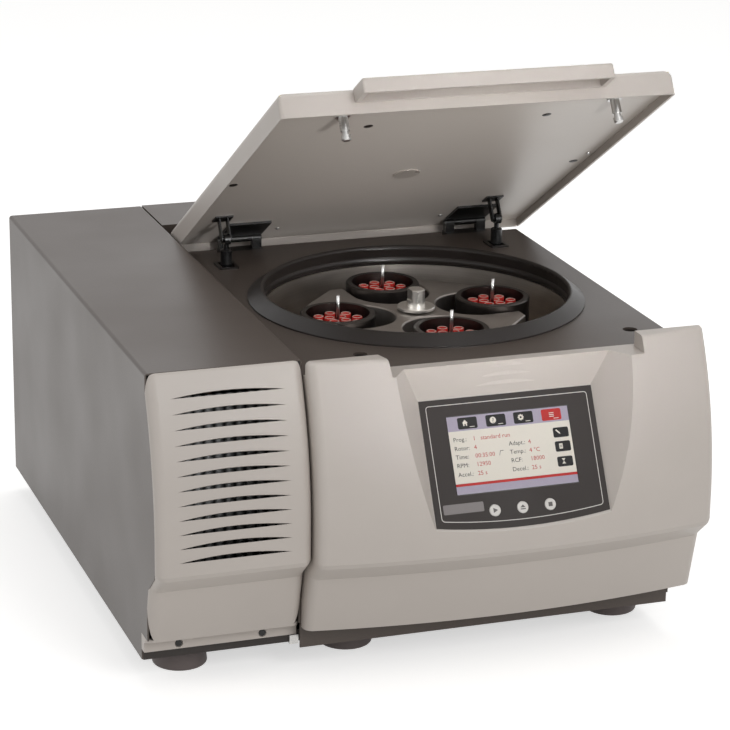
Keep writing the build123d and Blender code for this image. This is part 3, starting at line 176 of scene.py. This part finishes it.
# %% Four soft lamps
def softbox(name, place, aim, across, watts, beam=180):
    """A square lamp that shines from place towards aim, in a beam of so many degrees."""
    lamp = bpy.data.objects.new(name, bpy.data.lights.new(name, "AREA"))
    lamp.data.spread = math.radians(beam)
    lamp.data.size = across
    lamp.data.energy = watts
    back = np.array(place, float) - np.array(aim, float)
    back /= np.linalg.norm(back)
    side = np.cross((0, 0, 1), back)
    side /= np.linalg.norm(side)
    placed = np.eye(4)
    placed[:3, :3] = np.column_stack([side, np.cross(back, side), back])
    placed[:3, 3] = place
    lamp.matrix_world = Matrix(placed.tolist())
    bpy.context.scene.collection.objects.link(lamp)


MACHINE_MIDDLE = (0, 0, 0.3)
softbox("front_lamp", (0.9, -3.4, 2.2), MACHINE_MIDDLE, 1.6, 43)
softbox("left_lamp", (-3.2, -0.6, 2.2), MACHINE_MIDDLE, 1.6, 16)
softbox("top_lamp", (0.4, 0.9, 3.4), MACHINE_MIDDLE, 2.0, 28)
# A lamp with a honeycomb grid reaches under the lid and hardly touches the front.
softbox("lid_lamp", (0.3, -2.3, 0.62), (0.06, 0, 0.52), 0.25, 0.30, beam=18)
print("four lamps")

# %% [markdown]
# ## Finishes
#
# Each finish is named for the real one and for how its surface was made. Most real parts of one
# kind differ only in colour, gloss and grain, so one function stands for each way of making:
# moulding plastic, coating sheet metal, and turning or plating metal. A moulded part repeats the
# grain of its tool, a coated one has the slight waves of a film that flowed in the oven, and a
# turned one keeps the fine rings of the cutting edge. A pattern's size is given in millimetres,
# and one finer than half a millimetre is drawn coarser, because it wouldn't show.

# %% Moulded plastic and rubber
MM = 0.001


def between(tree, factor, first, second):
    """A colour between two hex colours, picked by a factor from 0 to 1."""
    return add(tree, "MixRGB", {"Fac": factor, "Color1": linear(first),
                                "Color2": linear(second)}).outputs["Color"]


def around_value(tree, value, middle, spread):
    """Maps a noise value, mostly 0.3 to 0.7, to a band around a middle value."""
    return add(tree, "MapRange", {"Value": value, "From Min": 0.3, "From Max": 0.7,
                                  "To Min": middle - spread, "To Max": middle + spread}).outputs[0]


def moulded(name, dark, light, rough, grain, depth, **surface):
    """Plastic or rubber: a grain pressed in by the tool, and a cloudy change of shade and gloss."""
    material, tree, place = begin(name)
    cloud = add(tree, "TexNoise", {"Vector": place, "Scale": per_mm(70), "Detail": 3.0})
    fine = add(tree, "TexNoise", {"Vector": place, "Scale": per_mm(grain), "Detail": 2.0})
    bump = add(tree, "Bump", {"Height": fine.outputs["Fac"], "Strength": 0.5,
                              "Distance": depth * MM})
    show(tree, add(tree, "BsdfPrincipled", {
        "Base Color": between(tree, cloud.outputs["Fac"], dark, light),
        "Roughness": around_value(tree, cloud.outputs["Fac"], rough, 0.05),
        "Normal": bump.outputs["Normal"], **surface}))
    return material


# Polyurethane foam moulding, sprayed in satin stone grey: soft edges and a very fine texture.
moulding_grey = moulded("painted_polyurethane_moulding", "#BDB5AE", "#C3BBB4", 0.42, 1.4, 0.05,
                        IOR=1.48)
# Screen-printed polyester film over the display: flat, dark and slightly glossy.
overlay_film = moulded("printed_polyester_overlay", "#35302E", "#393432", 0.45, 1.0, 0.02,
                       **{"Specular IOR Level": 0.15})
# Printed discs of the keys: white ink under a matt film.
key_print = moulded("printed_white_key_film", "#C6C2BD", "#CECAC5", 0.4, 1.0, 0.02, IOR=1.5)
# EPDM rubber of the chamber seal: black with a soft sheen where it has been wiped.
seal_rubber = moulded("moulded_epdm_seal", "#231F1D", "#2B2624", 0.33, 2.2, 0.12,
                      **{"Specular IOR Level": 0.35})
# Natural rubber feet: matt, with the roughness of a simple tool.
foot_rubber = moulded("moulded_rubber_foot", "#635957", "#6E6462", 0.6, 2.0, 0.2, IOR=1.5)
# Polypropylene tube racks: bright, waxy, and light shines a little way into them.
rack_red = moulded("moulded_red_polypropylene", "#CF302C", "#DC403A", 0.33, 2.0, 0.05, IOR=1.49)
# Silicone sleeves at the racks' mouths: pale and soft.
sleeve_pale = moulded("moulded_pale_silicone", "#C9A79A", "#D6B8AC", 0.4, 2.0, 0.03, IOR=1.43)
# Polycarbonate of the fan, the inlet and the rocker: smooth and black.
switch_black = moulded("moulded_black_polycarbonate", "#161616", "#1E1E1E", 0.28, 2.5, 0.03,
                       IOR=1.58)
# Rigid polyurethane foam, blown in place: cream, with open cells where it was cut.
foam_cream = moulded("blown_polyurethane_foam", "#CDBF97", "#DCD0AB", 0.85, 3.0, 0.9, IOR=1.45)
print("moulded finishes", len(bpy.data.materials))


# %% Coated sheet metal
def coated(name, dark, light, rough, peel, depth, coat):
    """Powder coat or enamel on metal: the waves of orange peel, fine dark specks, a clear gloss."""
    material, tree, place = begin(name)
    waves = add(tree, "TexNoise", {"Vector": place, "Scale": per_mm(peel), "Detail": 1.0})
    specks = add(tree, "TexNoise", {"Vector": place, "Scale": per_mm(0.9), "Detail": 0.0})
    drift = add(tree, "TexNoise", {"Vector": place, "Scale": per_mm(160), "Detail": 2.0})
    bump = add(tree, "Bump", {"Height": waves.outputs["Fac"], "Strength": 0.6,
                              "Distance": depth * MM})
    show(tree, add(tree, "BsdfPrincipled", {
        "Base Color": between(tree, specks.outputs["Fac"], dark, light),
        "Roughness": around_value(tree, drift.outputs["Fac"], rough, 0.04),
        "Specular IOR Level": 0.3, "Coat Weight": coat, "Coat Roughness": 0.22,
        "Normal": bump.outputs["Normal"]}))
    return material


# Textured powder coat of the cabinet, deck and panels: warm dark grey with a satin sheen.
cabinet_paint = coated("dark_grey_powder_coat", "#4A423D", "#584F49", 0.38, 2.6, 0.10, 0.08)
# Satin coat on the plate that lines the lid: a little smoother than the mouldings, and painted a
# shade lighter than their grey, as painted light on the lid's shaded underside.
lid_lining = coated("stone_grey_satin_coat_painted_lighter", "#C3BBB3", "#CAC2BA", 0.36, 4.0, 0.05, 0.15)
# Cathodic dip coat of hinges and straps: thin, even and black.
hinge_black = coated("black_dip_coat", "#131211", "#1B1A19", 0.35, 3.0, 0.06, 0.2)
# Stoved enamel of the gas springs: glossy black.
spring_black = coated("black_stoved_enamel", "#101011", "#161617", 0.2, 5.0, 0.03, 0.5)
# Cheap black enamel on the compressor, base tray and guard: uneven and half glossy.
machine_black = coated("black_chassis_enamel", "#2E2926", "#38322F", 0.42, 3.5, 0.15, 0.1)
print("coated finishes done")


# %% [markdown]
# ## Turned, spun and plated metal
#
# A lathe leaves rings about its axis. On an upright wall the rings are lines at a height, and on
# a flat face they are circles at a radius, so one noise of radius and height draws both. The
# axis is that of the chamber, the rotor and its nut. Bare metal that was drawn or plated instead
# has no rings, but soft patches where the film or the grain changes.

# %% Metals
CHAMBER = (0.076, -0.0595)


def turned(name, dark, light, rough, ring, depth, centre=CHAMBER):
    """Turned or spun metal: fine rings at equal radius and height about an upright axis."""
    material, tree, place = begin(name)
    flat = add(tree, "Mapping", {"Vector": place, "Location": (-centre[0], -centre[1], 0),
                                 "Scale": (1, 1, 0)})
    radius = add(tree, "VectorMath", {0: flat.outputs[0]}, operation="LENGTH")
    height = add(tree, "SeparateXYZ", {"Vector": place})
    rings_at = add(tree, "CombineXYZ", {"X": radius.outputs["Value"], "Y": height.outputs["Z"]})
    rings = add(tree, "TexNoise", {"Vector": rings_at.outputs[0], "Scale": per_mm(ring),
                                   "Detail": 2.0})
    patches = add(tree, "TexNoise", {"Vector": place, "Scale": per_mm(45), "Detail": 3.0})
    bump = add(tree, "Bump", {"Height": rings.outputs["Fac"], "Strength": 0.5,
                              "Distance": depth * MM})
    show(tree, add(tree, "BsdfPrincipled", {
        "Base Color": between(tree, rings.outputs["Fac"], dark, light), "Metallic": 1.0,
        "Roughness": around_value(tree, patches.outputs["Fac"], rough, 0.06),
        "Normal": bump.outputs["Normal"]}))
    return material


def drawn(name, dark, light, rough, patch, depth):
    """Drawn, plated or cast metal: soft patches of shade and gloss, and a faint skin."""
    material, tree, place = begin(name)
    patches = add(tree, "TexNoise", {"Vector": place, "Scale": per_mm(patch), "Detail": 4.0})
    skin = add(tree, "TexNoise", {"Vector": place, "Scale": per_mm(1.6), "Detail": 1.0})
    bump = add(tree, "Bump", {"Height": skin.outputs["Fac"], "Strength": 0.4,
                              "Distance": depth * MM})
    show(tree, add(tree, "BsdfPrincipled", {
        "Base Color": between(tree, patches.outputs["Fac"], dark, light), "Metallic": 1.0,
        "Roughness": around_value(tree, patches.outputs["Fac"], rough, 0.07),
        "Normal": bump.outputs["Normal"]}))
    return material


# Stainless steel bowl, spun over a form: dull silver rings.
bowl_steel = turned("spun_stainless_bowl", "#B9B1A9", "#CFC7BF", 0.42, 1.6, 0.05)
# Hard-anodised aluminium buckets: nearly black, with turning lines under the oxide.
rotor_black = turned("hard_anodised_aluminium", "#4A4644", "#5A5552", 0.34, 1.2, 0.04)
# Milled aluminium of the rotor's cross: grey, with the cutter's rings still on it.
rotor_grey = turned("milled_aluminium_cross", "#A8A29D", "#BDB7B2", 0.42, 1.0, 0.05)
# Turned stainless spindle and nut: bright.
spindle_steel = turned("turned_stainless_nut", "#DEDBD6", "#ECE9E4", 0.32, 0.8, 0.03)
# Zinc plate on screws, pins, brackets, tube lifters and the motor frame.
zinc_plate = drawn("bright_zinc_plate", "#BDBCBA", "#D2D1CF", 0.33, 9, 0.02)
# Ground and chromed rods of the gas springs.
rod_chrome = drawn("ground_chrome_rod", "#C9C9C9", "#D8D8D8", 0.24, 20, 0.01)
# Copper tube, dulled by air.
copper_pipe = drawn("dull_copper_tube", "#9A5B3C", "#C98560", 0.35, 14, 0.03)
print("metal finishes done")

# %% [markdown]
# ## Fins, circuit board and display glass
#
# The condenser is one block in CAD, and a wave pattern draws its fins as bright sheets with painted
# shade in the gaps between them. They are drawn 12.6 mm apart, which is coarser than the 2 mm of a
# real pack. A circuit board is green lacquer over copper tracks, which a brick pattern gives. Two
# smooth plastics end the set: the display's glass, dark where nothing is lit, and the window in the
# lid.

# %% Patterned finishes
fin_pack, tree, place = begin("aluminium_fin_pack")
WAVE_SCALE = 25.0  # the wave repeats every 2 pi / (20 * scale) metres
sheets = add(tree, "TexWave", {"Vector": place, "Scale": WAVE_SCALE},
             bands_direction="X", wave_profile="SIN")
edge = add(tree, "Bump", {"Height": sheets.outputs["Fac"], "Strength": 0.8,
                          "Distance": 0.6 * MM})
# The dark colour is painted shade in the gaps between the fins, and the light one is the fins' own
# metal.
show(tree, add(tree, "BsdfPrincipled", {
    "Base Color": between(tree, sheets.outputs["Fac"], "#3C3D3E", "#C6C8CA"), "Metallic": 1.0,
    "Roughness": 0.4, "Normal": edge.outputs["Normal"]}))

circuit_board, tree, place = begin("lacquered_circuit_board")
tracks = add(tree, "TexBrick", {"Vector": place, "Color1": linear("#1C5A33"),
                                "Color2": linear("#236B3D"), "Mortar": linear("#5E8A50"),
                                "Scale": per_mm(22), "Mortar Size": 0.03})
relief = add(tree, "Bump", {"Height": tracks.outputs["Fac"], "Strength": 0.3,
                            "Distance": 0.1 * MM})
show(tree, add(tree, "BsdfPrincipled", {"Base Color": tracks.outputs["Color"], "Roughness": 0.3,
                                        "Normal": relief.outputs["Normal"]}))

# Cover glass of the touch display: smooth and nearly black.
display_glass = moulded("display_cover_glass", "#26262A", "#2C2C30", 0.12, 6.0, 0.01, IOR=1.52)
# Sight window of the lid: frosted, in the lid's own grey.
window_plastic = moulded("frosted_polycarbonate_window", "#A9A199", "#B2AAA2", 0.3, 2.0, 0.04,
                         IOR=1.58)
print(len(bpy.data.materials), "materials")

# %% Give every CAD part its finish
FINISH_OF_SLOT = {
    "cabinet_paint": cabinet_paint, "moulding_grey": moulding_grey, "lid_lining": lid_lining,
    "bezel_grey": overlay_film, "screen_glass": display_glass, "key_grey": key_print,
    "seal_rubber": seal_rubber, "foot_rubber": foot_rubber, "bowl_steel": bowl_steel,
    "rotor_black": rotor_black, "spindle_steel": spindle_steel, "rack_red": rack_red,
    "hardware_steel": zinc_plate, "hinge_black": hinge_black, "spring_black": spring_black,
    "rod_chrome": rod_chrome, "foam_cream": foam_cream, "copper_pipe": copper_pipe,
    "board_green": circuit_board, "machine_black": machine_black,
    "fin_aluminium": fin_pack, "switch_black": switch_black,
}
# These share a slot with other parts but have a surface of their own.
FINISH_OF_PART = {"sight_window": window_plastic, "grille_screws": hinge_black,
                  "rotor_cross": rotor_grey}

for part in frame["record"]["subparts"]:
    name = part["node"]
    finish = FINISH_OF_PART.get(name, FINISH_OF_SLOT[part["material_slot"]])
    nodes[name].data.materials.clear()
    nodes[name].data.materials.append(finish)
print("every CAD part has a finish")

# %% [markdown]
# ## Surfaces from arrays
#
# New pieces are surfaces worked out as whole arrays of points. A grid of points, rows by columns,
# becomes a mesh by joining each point to its right and upper neighbours. Turned pieces close on
# themselves, so their last column joins the first. Points that fall together at a pole are
# merged, and the faces are then turned outwards.

# %% From a grid of points to a piece
import bmesh


def piece_from(name, points, faces, finish, body):
    """Makes a smooth mesh object from arrays, merges its poles, and lets it ride on a body."""
    mesh = bpy.data.meshes.new(name)
    mesh.from_pydata(points, [], faces)
    work = bmesh.new()
    work.from_mesh(mesh)
    bmesh.ops.remove_doubles(work, verts=work.verts, dist=1e-6)
    bmesh.ops.recalc_face_normals(work, faces=work.faces)
    work.to_mesh(mesh)
    work.free()
    mesh.polygons.foreach_set("use_smooth", [True] * len(mesh.polygons))
    mesh.materials.append(finish)
    made = bpy.data.objects.new(name, mesh)
    bpy.context.scene.collection.objects.link(made)
    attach(made, body)


def turned_grid(profile, steps):
    """Turns a profile of (radius, height) about Z: x = r cos a, y = r sin a, z = height."""
    profile = np.array(profile, float)
    angle = np.arange(steps) * 2 * np.pi / steps
    grid = np.stack([profile[:, :1] * np.cos(angle), profile[:, :1] * np.sin(angle),
                     np.repeat(profile[:, 1:], steps, axis=1)], axis=-1)
    row, column = np.meshgrid(np.arange(len(profile) - 1), np.arange(steps), indexing="ij")
    beside = (column + 1) % steps
    faces = np.stack([row * steps + column, row * steps + beside,
                      (row + 1) * steps + beside, (row + 1) * steps + column], axis=-1)
    return grid.reshape(-1, 3), faces.reshape(-1, 4)


def repeated(points, faces, places):
    """Copies one shape to many places: adds each place to every point, and renumbers the faces."""
    places = np.array(places, float)
    many = (points[None, :, :] + places[:, None, :]).reshape(-1, 3)
    shift = np.arange(len(places)) * len(points)
    return many, (faces[None, :, :] + shift[:, None, None]).reshape(-1, faces.shape[1])


HINGE_Y, HINGE_Z, LID_OPEN = 0.2335, 0.3845, math.radians(31.13)


def swung_open(points):
    """Carries points drawn on the shut lid to where the open lid holds them."""
    back = points[:, 1] - HINGE_Y
    up = points[:, 2] - HINGE_Z
    return np.stack([points[:, 0], HINGE_Y + math.cos(LID_OPEN) * back + math.sin(LID_OPEN) * up,
                     HINGE_Z - math.sin(LID_OPEN) * back + math.cos(LID_OPEN) * up], axis=-1)


print("helpers for surfaces ready")

# %% [markdown]
# ## Small things under the lid
#
# The lining plate has four black blanking plugs over its fixing holes and a few pan-head screws
# by the hinges. A plug is a shallow dome with a rim, and a screw head is a flatter dome with a
# cross recess, left out here because it is smaller than the picture can show. Both are turned
# profiles, hung from the plate and swung open with it.

# %% Plugs and screws of the lid
PLATE = 0.3894  # height of the lining plate on the shut lid

# Radius and drop below the plate, from the middle of the face outwards to the plate.
PLUG = [(0, -0.9), (2.6, -0.85), (4.2, -0.6), (4.6, -0.3), (5.6, -0.25), (5.9, 0.05), (0, 0.05)]
SCREW = [(0, -1.9), (1.4, -1.8), (2.4, -1.4), (2.9, -0.7), (3.0, 0.05), (0, 0.05)]
plug_places = [(-0.021, -0.213), (0.208, -0.213), (-0.1355, -0.0045), (0.3235, -0.0045)]
screw_places = [(0.3315, -0.038), (0.2107, 0.2103), (-0.019, 0.213)]

for name, profile, places, finish, slot in (
        ("lid_blanking_plugs", PLUG, plug_places, seal_rubber, "seal_rubber"),
        ("lid_plate_screws", SCREW, screw_places, zinc_plate, "hardware_steel")):
    points, faces = turned_grid(np.array(profile) * MM, 24)
    points, faces = repeated(points, faces, [(x, y, PLATE) for x, y in places])
    piece_from(name, swung_open(points), faces.tolist(), finish, "lid")
print(len(plug_places), "plugs and", len(screw_places), "screws")

# %% [markdown]
# ## Tube racks
#
# Each red rack has twelve bores for tubes and a steel lifter in the middle. A pale sleeve lines
# the mouth of each bore, so that glass doesn't touch the hard edge. The lifter is one piece with
# the rack in CAD, and its shaft is steel, so a thin plated sleeve with a domed end covers it.
# Both are turned profiles, repeated round the bucket's axis and carried by the bucket.

# %% Sleeves and lifters
PIVOT_RADIUS, ROTOR_TURN = 0.106, math.radians(4)
TUBE_TOP, LIFTER_TOP = 0.358, 0.3882
OUTER_RING, INNER_RING = 26.0, 11.0  # radii of the circles of eight and of four bores

# Radius and height in millimetres, from the top of the tubes and from the top of the lifter.
SLEEVE = [(5.0, -6.0), (5.0, 0.5), (5.4, 0.7), (5.9, 0.5), (6.0, 0.02), (5.0, -6.0)]
LIFTER = [(0, 0.35), (1.4, 0.3), (2.15, 0.05), (2.15, -31.0), (0, -31.0)]

for bucket in range(4):
    turn = ROTOR_TURN + bucket * math.pi / 2
    middle = np.array([CHAMBER[0] + PIVOT_RADIUS * math.cos(turn),
                       CHAMBER[1] + PIVOT_RADIUS * math.sin(turn), 0])
    outer = turn + np.arange(8) * np.pi / 4
    inner = turn + np.pi / 4 + np.arange(4) * np.pi / 2
    angles = np.concatenate([outer, inner])
    reach = np.concatenate([np.full(8, OUTER_RING), np.full(4, INNER_RING)]) * MM
    places = middle + np.stack([reach * np.cos(angles), reach * np.sin(angles),
                                np.full(12, TUBE_TOP)], axis=-1)
    points, faces = turned_grid(np.array(SLEEVE) * MM, 24)
    points, faces = repeated(points, faces, places)
    piece_from(f"tube_sleeves_{bucket + 1}", points, faces.tolist(), sleeve_pale,
               f"bucket_{bucket + 1}_swing")
    points, faces = turned_grid(np.array(LIFTER) * MM, 20)
    piece_from(f"rack_lifter_{bucket + 1}", points + middle + (0, 0, LIFTER_TOP),
               faces.tolist(), zinc_plate, f"bucket_{bucket + 1}_swing")
print("48 sleeves and 4 lifters")

# %% [markdown]
# ## The display
#
# The touch display shows its menu all the time, so its picture is part of the machine's look. A
# liquid crystal picture is light from behind a grid of tiny cells. It is built here from flat
# shapes that lie between the glass and the top of the bezel, a few hundredths of a millimetre
# apart: a pale field, two strips, rounded buttons, symbols and figures. Everything on the tilted
# panel is drawn in millimetres, across and up from the panel's middle, and one function carries
# it into space. Flat shapes are cheaper than an image and stay sharp from close by.

# %% Flat shapes on the tilted panel
TILT = math.radians(28)
PANEL_MIDDLE = np.array([0.0905, -0.3627, 0.2669])
PANEL_RIGHT = np.array([1.0, 0.0, 0.0])
PANEL_UP = np.array([0.0, math.sin(TILT), math.cos(TILT)])
PANEL_OUT = np.array([0.0, -math.cos(TILT), math.sin(TILT)])

# Levels in millimetres above the bezel. The display's picture lies below it, the ink on top.
FIELD, STRIPS, RED_LINE, BUTTONS, SYMBOLS, HOLES = -0.36, -0.32, -0.31, -0.28, -0.24, -0.20
INK, KEY_INK = 0.03, 0.83


def on_panel(flat, level):
    """Places (across, up) millimetres at a level above the bezel: middle + across + up + out."""
    flat = np.asarray(flat, float) * MM
    return (PANEL_MIDDLE + flat[:, :1] * PANEL_RIGHT + flat[:, 1:] * PANEL_UP
            + level * MM * PANEL_OUT)


def rounded(left, right, low, high, radius):
    """A rounded rectangle: four corner centres, each with a radius that turns a quarter."""
    turn = np.arange(4)[:, None] * np.pi / 2 + np.linspace(0, np.pi / 2, 6)
    centres = np.array([(right - radius, high - radius), (left + radius, high - radius),
                        (left + radius, low + radius), (right - radius, low + radius)])
    arcs = centres[:, None, :] + radius * np.stack([np.cos(turn), np.sin(turn)], axis=-1)
    return arcs.reshape(-1, 2)


def disc(across, up, radius, teeth=0):
    """A disc, or a gear whose radius grows by a quarter where cos(teeth * angle) is positive."""
    angle = np.arange(48) * np.pi / 24
    reach = radius * (1 + 0.25 * (np.cos(teeth * angle) > 0) * (teeth > 0))
    return np.stack([across + reach * np.cos(angle), up + reach * np.sin(angle)], axis=-1)


def flat_piece(name, flat, faces, level, finish, body="machine", slot="screen_glass"):
    """Makes one flat piece at a level of the panel, and lets it ride on a body."""
    mesh = bpy.data.meshes.new(name)
    mesh.from_pydata(on_panel(flat, level), [], faces)
    mesh.materials.append(finish)
    made = bpy.data.objects.new(name, mesh)
    bpy.context.scene.collection.objects.link(made)
    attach(made, body)


def print_on_panel(name, outlines, level, finish, **where):
    """Makes one piece of flat faces, one for each outline, facing away from the panel."""
    starts = np.cumsum([0] + [len(outline) for outline in outlines])
    faces = [list(range(first, last)) for first, last in zip(starts, starts[1:])]
    flat_piece(name, np.concatenate(outlines), faces, level, finish, **where)


def lit(name, dark, light, glow):
    """A lit liquid crystal: cells half a millimetre wide in two shades, behind smooth glass."""
    material, tree, place = begin(name)
    cells = add(tree, "TexVoronoi", {"Vector": place, "Scale": per_mm(0.5)})
    shade = between(tree, cells.outputs["Distance"], dark, light)
    show(tree, add(tree, "BsdfPrincipled", {
        "Base Color": shade, "Emission Color": shade, "Emission Strength": glow,
        "Roughness": 0.25, "Specular IOR Level": 0.12}))
    return material


lit_white = lit("lit_white_cells", "#CFC9BE", "#D6D0C5", 0.06)
lit_lilac = lit("lit_lilac_cells", "#9890A0", "#A69EAE", 0.05)
lit_black = lit("lit_black_cells", "#0C0B0B", "#121010", 0.0)
lit_red = lit("lit_red_cells", "#A8201E", "#B32926", 0.03)
lit_grey = lit("lit_grey_cells", "#161312", "#1C1918", 0.0)
print("flat helpers and five lit finishes")

# %% [markdown]
# ## Field, strips, buttons and symbols of the display
#
# A menu page is laid out as shares of its width and height, so the shapes keep their places if
# the display's size changes. The symbols are the plain ones that every menu has: a house, a
# question mark, a gear, a list, a pencil, a page and an hourglass.

# %% Draw the menu page
SCREEN_MIDDLE = np.array([-1.6, 7.3])
SCREEN = np.array([152.4, 91.4])


def spot(across, down):
    """A place on the display from its shares of the width from the left and height from the top."""
    return SCREEN_MIDDLE + SCREEN * (across - 0.5, 0.5 - down)


def area(first, last, top, bottom, radius=0.0):
    """A rectangle between shares of the display's width and height."""
    (left, high), (right, low) = spot(first, top), spot(last, bottom)
    return rounded(left, right, low, high, max(radius, 0.01))


print_on_panel("display_field", [area(0, 1, 0, 1)], FIELD, lit_white)
print_on_panel("display_strips", [area(0, 1, 0, 0.19), area(0, 1, 0.90, 1)], STRIPS, lit_lilac)
print_on_panel("display_line", [area(0, 1, 0.865, 0.90)], RED_LINE, lit_red)

top_buttons = [(0.085, 0.245), (0.317, 0.48), (0.546, 0.706), (0.777, 0.94)]
side_buttons = [(0.27, 0.40), (0.45, 0.585), (0.65, 0.78)]
black = [area(first, last, 0.02, 0.17, 2) for first, last in top_buttons[:3]]
black += [area(0.852, 0.98, top, bottom, 2) for top, bottom in side_buttons]
print_on_panel("display_buttons", black, BUTTONS, lit_black)
print_on_panel("display_red_button", [area(*top_buttons[3], 0.02, 0.17, 2)], BUTTONS, lit_red)

house = np.array([(-3.6, -0.3), (-2.4, -0.3), (-2.4, -3.6), (-0.8, -3.6), (-0.8, -1.2), (0.8, -1.2),
                  (0.8, -3.6), (2.4, -3.6), (2.4, -0.3), (3.6, -0.3), (0, 3.6)])
pencil = np.array([(-3.4, 2.2), (-2.2, 3.4), (1.8, -0.6), (2.4, -2.4), (0.6, -1.8)])
hourglass = [np.array([(-2.4, 3.2), (0, 0), (2.4, 3.2)]),
             np.array([(-2.4, -3.2), (2.4, -3.2), (0, 0)])]
bars = [rounded(-3, 3, up, up + 0.9, 0.2) for up in (-2.6, -0.5, 1.6)]
white = [house + spot(0.145, 0.09), disc(*spot(0.375, 0.09), 3.9), disc(*spot(0.605, 0.09), 3.1, 8),
         pencil + spot(0.895, 0.33), rounded(-2.2, 2.2, -3.1, 3.1, 0.4) + spot(0.90, 0.515)]
white += [shape + spot(0.905, 0.71) for shape in hourglass]
white += [shape + spot(0.86, 0.095) for shape in bars]
white += [rounded(-3.2, 3.2, -0.35, 0.35, 0.3) + spot(last - 0.045, 0.145)
          for _, last in top_buttons]
print_on_panel("display_symbols", white, SYMBOLS, lit_white)
print_on_panel("display_symbol_holes", [disc(*spot(0.605, 0.09), 1.3)]
               + [shape * 0.5 + spot(0.90, 0.515) for shape in bars], HOLES, lit_black)
print("one field, two strips, seven buttons and their symbols")

# %% [markdown]
# ## Figures and key symbols
#
# Blender's text gives sharp figures without drawing each one. A text is made as a curve, turned
# into a flat mesh, and its points are carried onto the panel like any other flat shape. The
# words are the plain names of a centrifuge's settings.

# %% Write the settings
def letters(name, writing, height, level, finish):
    """Joins short texts, each with its left end and base line in millimetres, into one piece."""
    points, faces = [], []
    for words, (across, up) in writing:
        curve = bpy.data.curves.new(name, "FONT")
        curve.body = words
        curve.size = height
        curve.resolution_u = 2
        curve.offset = 0.004  # share of the letters' height that thickens their strokes
        holder = bpy.data.objects.new(name, curve)
        bpy.context.scene.collection.objects.link(holder)
        flat = bpy.data.meshes.new_from_object(holder)
        start = sum(len(block) for block in points)
        co = np.empty(3 * len(flat.vertices))
        flat.vertices.foreach_get("co", co)
        points.append(co.reshape(-1, 3)[:, :2] + (across, up))
        faces += [[start + index for index in polygon.vertices] for polygon in flat.polygons]
        bpy.data.objects.remove(holder)
        bpy.data.curves.remove(curve)
        bpy.data.meshes.remove(flat)
    flat_piece(name, np.concatenate(points), faces, level, finish)


TEXT_HEIGHT = 7.2
ROWS = (0.325, 0.44, 0.55, 0.66, 0.775)
names = {0.03: ("Prog.:", "Rotor:", "Time:", "RPM:", "Accel.:"),
         0.475: ("", "Adapt.:", "Temp.:", "RCF:", "Decel.:")}
values = {0.19: ("1   standard run", "4", "00:35:00", "12950", "25 s"),
          0.635: ("", "4", "4 °C", "18000", "25 s")}


def written(columns):
    """Pairs each text with its place, column by column and row by row."""
    return [(words, spot(across, down)) for across, column in columns.items()
            for words, down in zip(column, ROWS) if words]


letters("display_names", written(names), TEXT_HEIGHT, BUTTONS, lit_grey)
letters("display_values", written(values), TEXT_HEIGHT, BUTTONS, lit_red)
letters("display_question", [("?", spot(0.367, 0.125))], 8.0, HOLES, lit_black)
ramp = np.array([(0, 0), (1.6, 5), (5.4, 5), (5.4, 5.6), (1.2, 5.6), (-0.6, 0)])
print_on_panel("display_ramp", [ramp + spot(0.39, 0.55)], BUTTONS, lit_grey)
print("settings written")

# %% [markdown]
# ## Print on the overlay and the keys
#
# The overlay is one polyester film printed from behind: a thin white border that follows the
# film's edge, a bare pale field, and windows over the keys. The border's lower side sags like
# the film's own edge, by sag * (1 - (across / half width) squared). Each key carries one plain
# sign: start, open the lid, stop. A key's sign rides on its key, so that it goes in with it.

# %% Border, pale field and key signs
border_ink = moulded("white_screen_ink", "#CFCAC5", "#D8D3CE", 0.45, 1.0, 0.02, IOR=1.5)
field_ink = moulded("grey_screen_ink", "#6E6865", "#767070", 0.45, 1.0, 0.02, IOR=1.5)
sign_ink = moulded("dark_screen_ink", "#4A4542", "#504B48", 0.45, 1.0, 0.02, IOR=1.5)


def border(half, low, high, radius, sag):
    """A rounded rectangle whose lower side sags: up -= sag * (1 - (across / half) ** 2)."""
    outline = rounded(-half, half, low, high, radius)
    lower_run = np.stack([np.linspace(radius - half, half - radius, 26)[1:-1],
                          np.full(24, low)], axis=-1)
    outline = np.concatenate([outline[:18], lower_run, outline[18:]])
    droop = sag * (1 - (outline[:, 0] / half) ** 2)
    outline[:, 1] -= np.where(outline[:, 1] < 0, droop, 0)
    return outline


LINE = 0.8  # width of the printed line
HALF, LOW, HIGH, CORNER, SAG = 101.7, -67.9, 68.0, 4.0, 6.8
outside = border(HALF, LOW, HIGH, CORNER, SAG)
inside = border(HALF - LINE, LINE + LOW, HIGH - LINE, CORNER - LINE, SAG)
count = len(outside)
step = np.arange(count)
after = (step + 1) % count
line_faces = np.stack([step, after, count + after, count + step], axis=-1)
flat_piece("overlay_border", np.concatenate([outside, inside]), line_faces.tolist(), INK,
           border_ink, slot="bezel_grey")
print_on_panel("overlay_pale_field", [rounded(-97.8, -47.8, -60.2, -48.8, 1.5)], INK, field_ink,
               slot="bezel_grey")

KEY_PITCH, KEY_UP = 34.7, -60.8
play = [np.array([(-2.2, -3.0), (3.4, 0), (-2.2, 3.0)])]
lid_sign = [np.array([(-3.2, -0.2), (3.2, -0.2), (0, 3.2)]), rounded(-3.2, 3.2, -2.6, -1.3, 0.2)]
stop = [rounded(-2.5, 2.5, -2.5, 2.5, 0.4)]
for place, (key, sign) in enumerate((("start", play), ("lid", lid_sign), ("stop", stop))):
    centre = np.array([(place - 1) * KEY_PITCH, KEY_UP])
    print_on_panel(f"{key}_key_sign", [shape + centre for shape in sign], KEY_INK, sign_ink,
                   body=f"{key}_key_cap", slot="key_grey")
print("border, field and three key signs")
